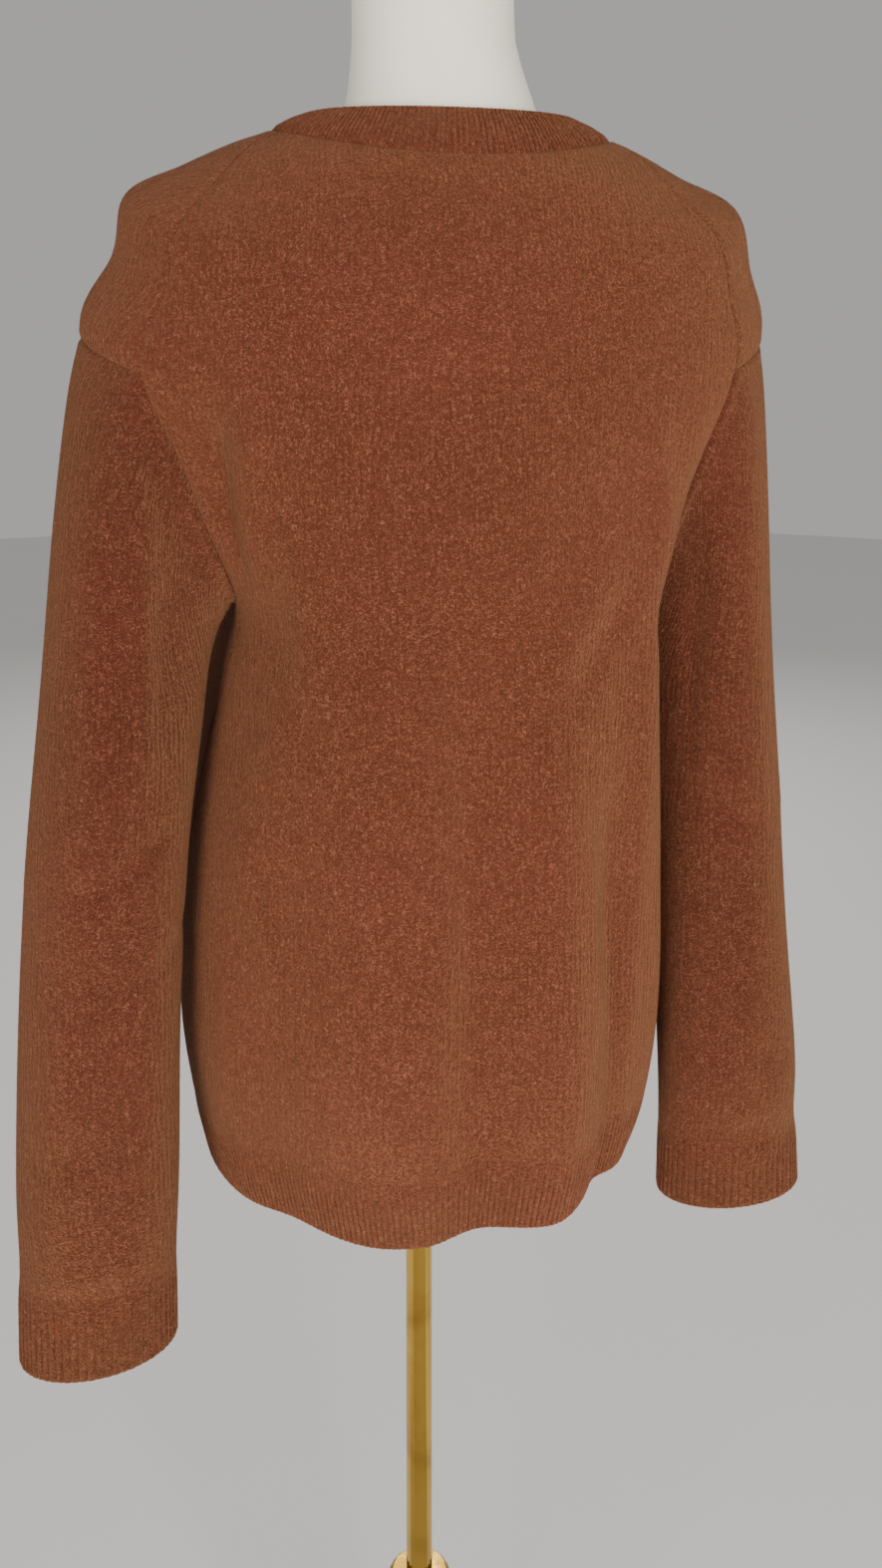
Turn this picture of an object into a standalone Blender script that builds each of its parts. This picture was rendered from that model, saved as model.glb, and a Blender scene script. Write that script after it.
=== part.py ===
"""A knitted crewneck sweater worn by a limbless dress form on a pole stand.

Metres, +Z up. The origin is the centre of the base plate's underside, the front faces -Y, the back
faces +Y and the wearer's left is +X. Every piece of cloth is a wall around a middle layer, which is
worked out from rings of the body, of the two sleeves and of the collar. Pieces that are sewn to each
other share their seam points and stop SEAM_GAP apart.
"""

from collections import namedtuple
from math import radians

import bmesh
import bpy
import numpy as np

# ---------------------------------------------------------------- driving dimensions
CLOTH_THICKNESS = 0.0022
BAND_THICKNESS = 0.0020
COLLAR_THICKNESS = 0.0022
RIB_HEIGHT = 0.0008
SEAM_GAP = 0.0003
TOUCH_GAP = 0.0003

PANEL_COLUMNS = 26
DROP_COLUMNS = 8
HEM_RIBS = 128  # on the back, and again on the front
COLLAR_RIBS = 150
CUFF_RIBS = 52
POINTS_PER_RIB = 2
INNER_SHARE = 4  # outer points of a ribbed band for each inner one
WELD_DIGITS = 6
SLOPE_STEP = 1e-3

# The dress form, and the sweater with it, leans a little towards the wearer's right above its pole.
LEAN = 0.0185
LEAN_START = 0.58

POLE_RADIUS = 0.0095
CLAMP_RADIUS = 0.023
CLAMP_BOTTOM = 0.262
CLAMP_TOP = 0.289
CLAMP_EDGE = 0.003
TUBE_RADIUS = 0.0135
BASE_RADIUS = 0.16
BASE_THICKNESS = 0.014
BASE_EDGE = 0.004
ROUND_STEPS = 24

# Rings of the body, from the hem up. Heights are at the centre back, the two sides and the centre front;
# the four reaches run from the axis; square is the ring's superellipse power, rise the power with which
# its height changes from the side towards the centre; rows is the mesh rows up to the next ring.
Ring = namedtuple("Ring", "name z_back z_left z_right z_front left right back front square rise rows")
BODY = (
    Ring("hem edge", 0.658, 0.651, 0.640, 0.634, 0.150, 0.145, 0.146, 0.138, 2.0, 1.6, 1),
    Ring("rib seam", 0.703, 0.695, 0.684, 0.678, 0.160, 0.152, 0.150, 0.146, 2.1, 1.8, 2),
    Ring("low hip", 0.765, 0.756, 0.750, 0.745, 0.168, 0.153, 0.149, 0.150, 2.2, 2.0, 2),
    Ring("hip", 0.850, 0.845, 0.845, 0.842, 0.165, 0.151, 0.142, 0.150, 2.1, 2.0, 2),
    Ring("waist", 0.930, 0.930, 0.930, 0.930, 0.152, 0.148, 0.133, 0.144, 2.2, 2.0, 2),
    Ring("ribs", 0.985, 0.982, 0.982, 0.982, 0.140, 0.146, 0.127, 0.143, 2.35, 2.0, 1),
    Ring("underarm", 1.034, 1.028, 1.028, 1.030, 0.134, 0.147, 0.123, 0.141, 2.5, 1.8, 3),
    Ring("mid armhole", 1.096, 1.106, 1.106, 1.085, 0.182, 0.188, 0.119, 0.136, 1.9, 1.6, 3),
    Ring("drop seam", 1.150, 1.201, 1.201, 1.130, 0.234, 0.236, 0.115, 0.127, 1.8, 1.3, 2),
    Ring("shoulder edge", 1.196, 1.256, 1.256, 1.165, 0.214, 0.225, 0.112, 0.120, 2.0, 1.3, 2),
    Ring("shoulder point", 1.232, 1.294, 1.294, 1.190, 0.206, 0.213, 0.108, 0.112, 2.1, 1.4, 2),
    Ring("mid shoulder", 1.266, 1.313, 1.313, 1.208, 0.170, 0.172, 0.102, 0.103, 2.1, 1.5, 2),
    Ring("inner shoulder", 1.294, 1.328, 1.328, 1.224, 0.138, 0.141, 0.094, 0.092, 2.1, 1.6, 1),
    Ring("neck seam", 1.3145, 1.3365, 1.3365, 1.238, 0.113, 0.118, 0.084, 0.078, 2.1, 1.6, 0),
)
RIB_SEAM, UNDERARM, DROP, NECK = 1, 6, 8, 13

# Seam angles, from the centre back towards the side, at the rings where they change.
SeamAngle = namedtuple("SeamAngle", "ring back front")
SEAMS = (
    SeamAngle(0, 86, 86),
    SeamAngle(UNDERARM, 82, 82),
    SeamAngle(UNDERARM + 1, 65, 102),
    SeamAngle(DROP, 58, 110),
)
ShoulderSeam = namedtuple("ShoulderSeam", "ring angle")
SHOULDER_SEAM = (
    ShoulderSeam(DROP, 58),
    ShoulderSeam(9, 57),
    ShoulderSeam(10, 56),
    ShoulderSeam(11, 61),
    ShoulderSeam(12, 69),
    ShoulderSeam(NECK, 77),
)

# Folds of the body: soft ridges (out) and troughs (in) that run up the cloth. Angles from the centre
# back towards the wearer's left, heights in metres, width and depth as measured across the cloth.
Fold = namedtuple("Fold", "name low high angle_low angle_high width depth")
BODY_FOLDS = (
    Fold("centre trough", 0.600, 1.020, -4, -5, 0.022, -0.009),
    Fold("left ridge", 0.600, 0.980, 17, 20, 0.030, 0.006),
    Fold("right ridge", 0.600, 0.950, -24, -22, 0.022, 0.008),
    Fold("left side trough", 0.600, 0.870, 42, 46, 0.026, -0.005),
    Fold("right side trough", 0.600, 0.900, -44, -40, 0.018, -0.008),
    Fold("right armhole ridge", 0.700, 1.150, -66, -52, 0.028, 0.014),
    Fold("left armhole trough", 0.940, 1.200, 62, 46, 0.030, -0.006),
    Fold("left side ridge", 0.780, 1.040, 114, 108, 0.032, 0.018),
    Fold("front centre trough", 0.600, 1.010, 186, 182, 0.030, -0.008),
    Fold("front left ridge", 0.600, 0.980, 152, 158, 0.028, 0.007),
    Fold("front right ridge", 0.600, 0.950, 211, 204, 0.026, 0.007),
    Fold("front left trough", 0.600, 0.880, 130, 134, 0.026, -0.006),
    Fold("front right trough", 0.600, 0.870, 232, 228, 0.026, -0.006),
)

# Sections of the sleeves, from the armhole down. x and y are the middle, z its height, tilt what the
# outer side is above the middle, hold the share of the armhole's own outline that is left.
Section = namedtuple("Section", "name x y z half_x half_y tilt hold rows")
SLEEVE_LEFT = (
    Section("armhole", 0.197, 0.002, 1.100, 0.049, 0.054, 0.078, 1.00, 1),
    Section("cap", 0.200, 0.007, 1.073, 0.049, 0.053, 0.066, 0.50, 2),
    Section("upper", 0.203, 0.016, 1.030, 0.049, 0.051, 0.044, 0.14, 2),
    Section("biceps", 0.206, 0.029, 0.972, 0.0495, 0.049, 0.020, 0.00, 3),
    Section("elbow", 0.214, 0.046, 0.880, 0.0490, 0.047, 0.004, 0.00, 3),
    Section("forearm", 0.2185, 0.061, 0.780, 0.0490, 0.043, 0.000, 0.00, 3),
    Section("wrist", 0.219, 0.074, 0.680, 0.0490, 0.038, 0.000, 0.00, 2),
    Section("cuff seam", 0.218, 0.080, 0.626, 0.0465, 0.032, 0.000, 0.00, 1),
    Section("cuff edge", 0.217, 0.083, 0.575, 0.0462, 0.028, -0.002, 0.00, 0),
)
SLEEVE_RIGHT = (
    Section("armhole", -0.203, -0.004, 1.100, 0.042, 0.054, 0.078, 1.00, 1),
    Section("cap", -0.203, -0.005, 1.073, 0.044, 0.053, 0.066, 0.50, 2),
    Section("upper", -0.204, -0.005, 1.030, 0.045, 0.051, 0.044, 0.14, 2),
    Section("biceps", -0.2065, -0.003, 0.972, 0.0465, 0.049, 0.020, 0.00, 3),
    Section("elbow", -0.2105, 0.008, 0.885, 0.0475, 0.047, 0.004, 0.00, 3),
    Section("forearm", -0.2140, 0.024, 0.790, 0.0485, 0.043, 0.000, 0.00, 3),
    Section("wrist", -0.2170, 0.040, 0.690, 0.0505, 0.038, 0.000, 0.00, 2),
    Section("cuff seam", -0.216, 0.044, 0.643, 0.0495, 0.032, 0.000, 0.00, 1),
    Section("cuff edge", -0.2170, 0.046, 0.596, 0.0512, 0.028, 0.000, 0.00, 0),
)
CUFF_SEAM, CUFF_EDGE = 7, 8

# Folds of the sleeves: from and to are sections (0 armhole, 8 cuff edge), angles run from the outer
# side towards the back.
SleeveFold = namedtuple("SleeveFold", "name start end angle_start angle_end width depth")
SLEEVE_FOLDS = (
    SleeveFold("back ridge", 0.4, 4.6, 62, 84, 0.024, 0.005),
    SleeveFold("armpit trough", 0.3, 3.2, 128, 112, 0.024, -0.006),
    SleeveFold("front trough", 0.6, 3.6, 228, 246, 0.026, -0.006),
    SleeveFold("front ridge", 1.0, 4.8, 278, 286, 0.026, 0.005),
    SleeveFold("back trough", 3.2, 6.4, 118, 92, 0.020, -0.003),
    SleeveFold("outer trough", 4.2, 7.2, 28, 18, 0.022, -0.003),
)

CollarRing = namedtuple("CollarRing", "name z_back z_left z_right z_front left right back front square rise")
COLLAR = (
    CollarRing("neck seam", 1.3145, 1.3365, 1.3365, 1.238, 0.113, 0.118, 0.084, 0.078, 2.1, 1.6),
    CollarRing("middle", 1.3305, 1.3435, 1.3435, 1.252, 0.102, 0.105, 0.081, 0.071, 2.1, 1.6),
    CollarRing("collar edge", 1.3440, 1.3470, 1.3470, 1.264, 0.091, 0.092, 0.075, 0.064, 2.1, 1.6),
)

# Level sections of the dress form, from its flat underside to the flat top of its neck.
Level = namedtuple("Level", "name z x half back front square")
FORM = (
    Level("underside edge", 0.700, 0.0, 0.120, 0.098, 0.092, 2.2),
    Level("underside curve", 0.703, 0.0, 0.132, 0.110, 0.104, 2.2),
    Level("seat", 0.725, 0.0, 0.140, 0.122, 0.114, 2.2),
    Level("hip", 0.800, 0.0, 0.144, 0.124, 0.116, 2.2),
    Level("high hip", 0.870, 0.0, 0.134, 0.106, 0.108, 2.1),
    Level("waist", 0.950, 0.0, 0.116, 0.088, 0.096, 2.1),
    Level("ribs", 1.010, 0.0, 0.119, 0.092, 0.106, 2.1),
    Level("bust", 1.070, 0.0, 0.125, 0.100, 0.122, 2.2),
    Level("chest", 1.140, 0.0, 0.140, 0.100, 0.108, 2.2),
    Level("armhole", 1.200, 0.0, 0.158, 0.090, 0.086, 2.2),
    Level("shoulder cap", 1.250, 0.0, 0.180, 0.072, 0.066, 2.2),
    Level("shoulder end", 1.272, 0.0, 0.184, 0.060, 0.054, 2.2),
    Level("shoulder top", 1.287, 0.0, 0.172, 0.052, 0.049, 1.8),
    Level("shoulder slope", 1.300, 0.0, 0.140, 0.051, 0.050, 1.6),
    Level("neck root", 1.318, -0.002, 0.094, 0.056, 0.052, 1.6),
    Level("neck flare", 1.338, -0.002, 0.073, 0.060, 0.053, 1.8),
    Level("neck base", 1.360, -0.001, 0.0640, 0.059, 0.055, 2.0),
    Level("neck", 1.400, 0.004, 0.0555, 0.0555, 0.0555, 2.0),
    Level("neck upper", 1.455, 0.006, 0.0545, 0.0545, 0.0545, 2.0),
    Level("neck edge", 1.462, 0.006, 0.0520, 0.0520, 0.0520, 2.0),
    Level("neck top", 1.464, 0.006, 0.0485, 0.0485, 0.0485, 2.0),
)
FORM_COLUMNS = 28

Finish = namedtuple("Finish", "name colour roughness metallic")
KNIT_BODY = Finish("knit_body", (0.26, 0.07, 0.03), 0.95, 0.0)
KNIT_RIB = Finish("knit_rib", (0.24, 0.065, 0.028), 0.95, 0.0)
FORM_COVER = Finish("form_cover", (0.83, 0.83, 0.82), 0.75, 0.0)
BRASS = Finish("brass", (0.80, 0.58, 0.28), 0.25, 1.0)


# ---------------------------------------------------------------- surfaces
def column(table, field):
    """One named column of a table, as an array."""
    return np.array([getattr(row, field) for row in table], float)


def along(values, place):
    """A smooth curve through the values, read at a place counted in rows."""
    last = len(values) - 1
    place = np.clip(np.asarray(place, float), 0, last)
    i = np.minimum(place.astype(int), last - 1)
    t = place - i
    before, after = values[np.maximum(i - 1, 0)], values[np.minimum(i + 2, last)]
    start, end = values[i], values[i + 1]
    slope_start = np.where(i > 0, (end - before) / 2, end - start)
    slope_end = np.where(i + 2 <= last, (after - start) / 2, end - start)
    return (
        start * (1 + 2 * t) * (1 - t) ** 2
        + slope_start * t * (1 - t) ** 2
        + end * t**2 * (3 - 2 * t)
        + slope_end * t**2 * (t - 1)
    )


def power(value, exponent):
    """The value's size to a power, with its sign kept."""
    return np.sign(value) * np.abs(value) ** exponent


def ring_points(table, angle, place):
    """Points of a table of rings; angles run from the centre back towards the wearer's left."""
    read = {f: along(column(table, f), place) for f in table[0]._fields[1:11]}
    sine, cosine = np.sin(angle), np.cos(angle)
    exponent = 2 / read["square"]
    x = power(sine, exponent) * np.where(sine > 0, read["left"], read["right"])
    y = power(cosine, exponent) * np.where(cosine > 0, read["back"], read["front"])
    centre = np.where(cosine > 0, read["z_back"], read["z_front"])
    side = np.where(sine > 0, read["z_left"], read["z_right"])
    z = side + (centre - side) * np.abs(cosine) ** read["rise"]
    return np.stack(np.broadcast_arrays(lean(x, z), y, z), axis=-1)


def lean(x, z):
    """Moves x with the height, as the dress form leans."""
    return x - LEAN * (z - LEAN_START)


def normals_of(surface, u, v):
    """Unit normals of surface(u, v), which point out when v x u does."""
    along_u = surface(u + SLOPE_STEP, v) - surface(u - SLOPE_STEP, v)
    along_v = surface(u, v + SLOPE_STEP) - surface(u, v - SLOPE_STEP)
    normal = np.cross(along_v, along_u)
    return normal / np.linalg.norm(normal, axis=-1, keepdims=True)


def bump(distance, width):
    """A soft hill of height 1 at distance 0 that fades out in about its width."""
    return np.exp(-((distance / width) ** 2))


def fade(value, low, high):
    """Rises from 0 at low to 1 near the middle and falls to 0 at high."""
    t = np.clip((value - low) / (high - low), 0, 1)
    return np.sin(np.pi * t) ** 0.7


def body_smooth(angle, place):
    """The body's middle layer without its folds."""
    return ring_points(BODY, angle, place)


def body_surface(angle, place):
    """The body's middle layer with its folds."""
    place = np.clip(place, 0, NECK)
    points = body_smooth(angle, place)
    normal = normals_of(body_smooth, angle, place)
    height, around = points[..., 2], np.hypot(points[..., 0], points[..., 1])
    shift = np.zeros(height.shape)
    for fold in BODY_FOLDS:
        share = np.clip((height - fold.low) / (fold.high - fold.low), 0, 1)
        middle = np.radians(fold.angle_low + (fold.angle_high - fold.angle_low) * share)
        turn = np.angle(np.exp(1j * (angle - middle)))
        ends = fade(height, fold.low - 0.05, fold.high + 0.02)
        shift += fold.depth * bump(turn * around, fold.width) * ends
    return points + normal * shift[..., None]


def collar_surface(angle, place):
    """The collar's middle layer."""
    return ring_points(COLLAR, angle, place)


def seam_angle(place, edge):
    """The angle of the back or front panel's edge at a place on the body."""
    table, field = (SHOULDER_SEAM, "angle") if place > DROP + 1e-6 else (SEAMS, edge)
    return float(np.radians(np.interp(place, column(table, "ring"), column(table, field))))


def ring_places(first, last):
    """The mesh rows' places from one ring to another."""
    places = [float(first)]
    for ring in range(first, last):
        rows = BODY[ring].rows
        places += [ring + (k + 1) / rows for k in range(rows)]
    return places


def armhole_loop(side):
    """Angles and places of the armhole's points: from the sleeve's outer side towards +Y round to it."""
    back, front, drop = seam_angle(DROP, "back"), seam_angle(DROP, "front"), float(DROP)
    arc = [(front + (back - front) * k / DROP_COLUMNS, drop) for k in range(DROP_COLUMNS + 1)]
    down = [(seam_angle(p, "back"), p) for p in reversed(ring_places(UNDERARM, DROP))]
    up = [(seam_angle(p, "front"), p) for p in ring_places(UNDERARM, DROP)]
    half = DROP_COLUMNS // 2
    loop = arc[half:] + down[1:] + up[1:] + arc[1:half]
    angles, places = np.array(loop).T
    if side < 0:
        angles, places = np.roll(angles[::-1], 1), np.roll(places[::-1], 1)
    return side * angles, places


def loop_turns(points):
    """Where each point of an armhole stands on a sleeve's ring, as an angle from its outer side."""
    steps = np.linalg.norm(np.roll(points, -1, axis=0) - points, axis=1)
    run = np.concatenate([[0], np.cumsum(steps)])
    lowest = int(np.argmin(points[:, 2]))
    halves = [0, run[lowest], run[-1]]
    return np.interp(run[:-1], halves, [0, np.pi, 2 * np.pi])


class Sleeve:
    """A sleeve with its cuff: rings that grow out of the armhole."""

    def __init__(self, side, table):
        self.side, self.table = side, table
        self.angles, self.places = armhole_loop(side)
        self.start = body_surface(self.angles, self.places)
        self.turns = loop_turns(self.start)

    def armhole(self, turn):
        """Points of the armhole at the given turns."""
        knots = np.append(self.turns, 2 * np.pi)
        loop = np.vstack([self.start, self.start[:1]])
        turn = np.mod(turn, 2 * np.pi)
        return np.stack([np.interp(turn, knots, loop[:, k]) for k in range(3)], axis=-1)

    def smooth(self, turn, place):
        """The middle layer without its folds. Turns run anticlockwise as seen from above."""
        read = {f: along(column(self.table, f), place) for f in Section._fields[1:8]}
        cosine, sine = np.cos(turn) * self.side, np.sin(turn) * self.side
        x = read["x"] + read["half_x"] * cosine
        y = read["y"] + read["half_y"] * sine
        z = read["z"] + read["tilt"] * cosine * self.side
        level = np.stack(np.broadcast_arrays(lean(x, z), y, z), axis=-1)
        hold = np.clip(read["hold"], 0, 1)[..., None]
        return level * (1 - hold) + self.armhole(turn) * hold

    def surface(self, turn, place):
        """The middle layer with its folds."""
        place = np.clip(place, 0, CUFF_EDGE)
        turn, place = np.broadcast_arrays(np.asarray(turn, float), np.asarray(place, float))
        points = self.smooth(turn, place)
        normal = normals_of(self.smooth, turn, place)
        radius = along(column(self.table, "half_x"), place)
        shift = np.zeros(place.shape)
        for fold in SLEEVE_FOLDS:
            share = np.clip((place - fold.start) / (fold.end - fold.start), 0, 1)
            middle = np.radians(fold.angle_start + (fold.angle_end - fold.angle_start) * share)
            away = np.angle(np.exp(1j * (turn * self.side - middle)))
            shift += fold.depth * bump(away * radius, fold.width) * fade(place, fold.start, fold.end)
        return points + normal * shift[..., None]


# ---------------------------------------------------------------- walls
def inset(points, normals, edges):
    """Moves the points of a sheet's open edges half a seam gap into the sheet."""
    inward = {}
    for a, b in edges:
        run = points[b] - points[a]
        for end in (a, b):
            side = np.cross(normals[end], run)
            inward.setdefault(end, []).append(side / np.linalg.norm(side))
    moved = points.copy()
    for end, (first, second) in inward.items():
        moved[end] += (first + second) / (1 + first @ second) * SEAM_GAP / 2
    return moved


def open_edges(faces):
    """The directed edges that only one face has."""
    edges = {(f[k], f[(k + 1) % len(f)]) for f in faces for k in range(len(f))}
    return [edge for edge in sorted(edges) if (edge[1], edge[0]) not in edges]


class Sheet:
    """The middle layer of one piece of cloth: welded points, their normals and its faces."""

    def __init__(self):
        self.points, self.normals, self.faces, self.index = [], [], [], {}

    @staticmethod
    def key(point):
        """What two points that are the same share."""
        return tuple(np.round(point, WELD_DIGITS) + 0.0)

    def vertex(self, point, normal):
        """The number of this point, which is new or already there."""
        place = self.key(point)
        if place not in self.index:
            self.index[place] = len(self.points)
            self.points.append(point)
            self.normals.append(normal)
        return self.index[place]

    def add_grid(self, points, normals, closed=False):
        """Adds rows of points, which run up, with columns that run anticlockwise seen from inside."""
        rows, columns = points.shape[:2]
        number = [[self.vertex(points[r, c], normals[r, c]) for c in range(columns)] for r in range(rows)]
        last = columns if closed else columns - 1
        for r in range(rows - 1):
            for c in range(last):
                d = (c + 1) % columns
                self.faces.append((number[r][c], number[r + 1][c], number[r + 1][d], number[r][d]))

    def set_normals(self, points, normals):
        """Gives seam points the normals that both pieces at the seam share."""
        for point, normal in zip(points, normals):
            place = self.key(point)
            if place in self.index:
                self.normals[self.index[place]] = normal

    def rim(self, a, b, count):
        """Two triangles across the wall's edge, split the same way on both sides of a seam."""
        if tuple(self.points[a]) < tuple(self.points[b]):
            return [(b, a, a + count), (b, a + count, b + count)]
        return [(b, a, b + count), (a, a + count, b + count)]

    def wall(self, thickness):
        """Vertices and faces of the closed wall around the sheet."""
        edges = open_edges(self.faces)
        normals = np.array(self.normals)
        middle = inset(np.array(self.points), normals, edges)
        count = len(middle)
        outer, inner = middle + normals * thickness / 2, middle - normals * thickness / 2
        faces = list(self.faces)
        faces += [tuple(v + count for v in reversed(f)) for f in self.faces]
        for a, b in edges:
            faces += self.rim(a, b, count)
        return np.vstack([outer, inner]), faces


def ribbed_band(points, normals, thickness, closed):
    """A band whose outer points stand up in ribs over a plain inside with fewer columns.

    points has two or more rows and POINTS_PER_RIB columns for each rib, with one more if it is open.
    """
    rows, columns = points.shape[:2]
    sheet = Sheet()
    sheet.add_grid(points, normals, closed)
    flat = inset(np.array(sheet.points), np.array(sheet.normals), open_edges(sheet.faces))
    middle = flat.reshape(rows, columns, 3)
    raised = (np.arange(columns) % POINTS_PER_RIB == POINTS_PER_RIB // 2) * RIB_HEIGHT
    outer = middle + normals * (thickness / 2 + raised)[None, :, None]
    kept = np.arange(0, columns, INNER_SHARE)
    inner = (middle - normals * thickness / 2)[:, kept]
    base, width = rows * columns, len(kept)

    def out(r, c):
        return r * columns + c % columns

    def inn(r, k):
        return base + r * width + k % width

    spans, steps = (width if closed else width - 1), (columns if closed else columns - 1)
    faces = []
    for r in range(rows - 1):
        faces += [(out(r, c), out(r + 1, c), out(r + 1, c + 1), out(r, c + 1)) for c in range(steps)]
        faces += [(inn(r, k), inn(r, k + 1), inn(r + 1, k + 1), inn(r + 1, k)) for k in range(spans)]
    top = rows - 1
    for k in range(spans):
        first, half = k * INNER_SHARE, INNER_SHARE // 2
        for c in range(first, first + INNER_SHARE):
            near = k if c < first + half else k + 1
            faces.append((out(0, c), out(0, c + 1), inn(0, near)))
            faces.append((out(top, c + 1), out(top, c), inn(top, near)))
        faces.append((inn(0, k), out(0, first + half), inn(0, k + 1)))
        faces.append((inn(top, k + 1), out(top, first + half), inn(top, k)))
    if not closed:
        end, last = columns - 1, width - 1
        for r in range(rows - 1):
            faces.append((out(r + 1, 0), out(r, 0), inn(r, 0), inn(r + 1, 0)))
            faces.append((out(r, end), out(r + 1, end), inn(r + 1, last), inn(r, last)))
    return np.vstack([outer.reshape(-1, 3), inner.reshape(-1, 3)]), faces


# ---------------------------------------------------------------- objects
def finish_material(finish):
    """The Principled material of a finish, made once."""
    material = bpy.data.materials.get(finish.name)
    if material is None:
        material = bpy.data.materials.new(finish.name)
        material.use_nodes = True
        shader = material.node_tree.nodes["Principled BSDF"]
        shader.inputs["Base Color"].default_value = (*finish.colour, 1.0)
        shader.inputs["Roughness"].default_value = finish.roughness
        shader.inputs["Metallic"].default_value = finish.metallic
    return material


def new_object(name, mesh, finish, collection):
    """Links a mesh to the collection as a named, smooth shaded object."""
    thing = bpy.data.objects.new(name, mesh)
    thing.data.materials.append(finish_material(finish))
    collection.objects.link(thing)
    return thing


def cloth_object(name, shape, finish, collection):
    """An object from a wall's vertices and faces."""
    vertices, faces = shape
    mesh = bpy.data.meshes.new(name)
    mesh.from_pydata([tuple(v) for v in vertices], [], faces)
    mesh.shade_smooth()
    mesh.set_sharp_from_angle(angle=radians(50))
    return new_object(name, mesh, finish, collection)


def add_body_rows(sheet, angles, places):
    """Adds rows of the body to a sheet, and shares the last row's normals with the collar if it ends there."""
    rows = np.broadcast_to(np.array(places)[:, None], angles.shape)
    points = body_surface(angles, rows)
    sheet.add_grid(points, normals_of(body_surface, angles, rows))
    if places[-1] == NECK:
        sheet.set_normals(points[-1], neck_normals(angles[-1]))


def back_sheet():
    """The back's middle layer, from the rib seam to the collar seam."""
    places = ring_places(RIB_SEAM, NECK)
    seams = [seam_angle(p, "back") for p in places]
    sheet = Sheet()
    add_body_rows(sheet, np.array([np.linspace(-s, s, PANEL_COLUMNS + 1) for s in seams]), places)
    return sheet


def front_sheet():
    """The front's middle layer, which reaches over the shoulders above the dropped seams."""
    full = 2 * np.pi
    sheet = Sheet()
    places = ring_places(RIB_SEAM, DROP)
    seams = [seam_angle(p, "front") for p in places]
    add_body_rows(sheet, np.array([np.linspace(s, full - s, PANEL_COLUMNS + 1) for s in seams]), places)
    low, high = seam_angle(DROP, "back"), seam_angle(DROP, "front")
    marks = np.concatenate([
        np.linspace(low, high, DROP_COLUMNS + 1)[:-1],
        np.linspace(high, full - high, PANEL_COLUMNS + 1)[:-1],
        np.linspace(full - high, full - low, DROP_COLUMNS + 1),
    ])
    share = (marks - marks[0]) / (marks[-1] - marks[0])
    places = ring_places(DROP, NECK)
    seams = np.array([seam_angle(p, "back") for p in places])[:, None]
    add_body_rows(sheet, seams + share[None, :] * (full - 2 * seams), places)
    return sheet


def unit(vectors):
    """Vectors of length 1."""
    return vectors / np.linalg.norm(vectors, axis=-1, keepdims=True)


def neck_normals(angles):
    """Normals along the collar seam, half way between the body's and the collar's."""
    below = normals_of(body_surface, angles, np.full(angles.shape, float(NECK)))
    above = normals_of(collar_surface, angles, np.zeros(angles.shape))
    return unit(below + above)


def collar_shape():
    """The ribbed collar band, a tube around the neck."""
    count = COLLAR_RIBS * POINTS_PER_RIB
    angles = np.linspace(0, 2 * np.pi, count, endpoint=False)
    rows = np.arange(len(COLLAR), dtype=float)[:, None]
    angle_grid, row_grid = np.broadcast_arrays(angles[None, :], rows)
    normals = normals_of(collar_surface, angle_grid, row_grid)
    normals[0] = neck_normals(angles)
    return ribbed_band(collar_surface(angle_grid, row_grid), normals, COLLAR_THICKNESS, closed=True)


def hem_shape(first_angle, last_angle):
    """A ribbed hem band between two side seams."""
    angles = np.linspace(first_angle, last_angle, HEM_RIBS * POINTS_PER_RIB + 1)
    places = np.array([[0.0], [float(RIB_SEAM)]])
    angle_grid, place_grid = np.broadcast_arrays(angles[None, :], places)
    normals = normals_of(body_surface, angle_grid, place_grid)
    return ribbed_band(body_surface(angle_grid, place_grid), normals, BAND_THICKNESS, closed=False)


def sleeve_rows(sleeve):
    """The mesh rows' places from the armhole to the cuff seam."""
    places = [0.0]
    for section in range(CUFF_SEAM):
        rows = sleeve.table[section].rows
        places += [section + (k + 1) / rows for k in range(rows)]
    return np.array(places)


def sleeve_sheet(sleeve):
    """A sleeve's middle layer from the armhole to the cuff seam."""
    turns, places = np.broadcast_arrays(sleeve.turns[None, :], sleeve_rows(sleeve)[:, None])
    points = sleeve.surface(turns, places)
    points[0] = sleeve.start
    sheet = Sheet()
    sheet.add_grid(points, normals_of(sleeve.surface, turns, np.maximum(places, SLOPE_STEP)), closed=True)
    return sheet


def cuff_shape(sleeve):
    """The ribbed cuff band at a sleeve's end."""
    turns = np.linspace(0, 2 * np.pi, CUFF_RIBS * POINTS_PER_RIB, endpoint=False)
    places = np.array([[float(CUFF_SEAM)], [float(CUFF_EDGE)]])
    turn_grid, place_grid = np.broadcast_arrays(turns[None, :], places)
    normals = normals_of(sleeve.surface, turn_grid, place_grid)
    return ribbed_band(sleeve.surface(turn_grid, place_grid), normals, BAND_THICKNESS, closed=True)


def share_armholes(sheets, sleeves):
    """Gives the pieces at each armhole the same normals along it, half way between body and sleeve."""
    for sleeve in sleeves:
        body = normals_of(body_surface, sleeve.angles, sleeve.places)
        arm = normals_of(sleeve.surface, sleeve.turns, np.full(sleeve.turns.shape, SLOPE_STEP))
        for sheet in sheets:
            sheet.set_normals(sleeve.start, unit(body + arm))


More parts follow.
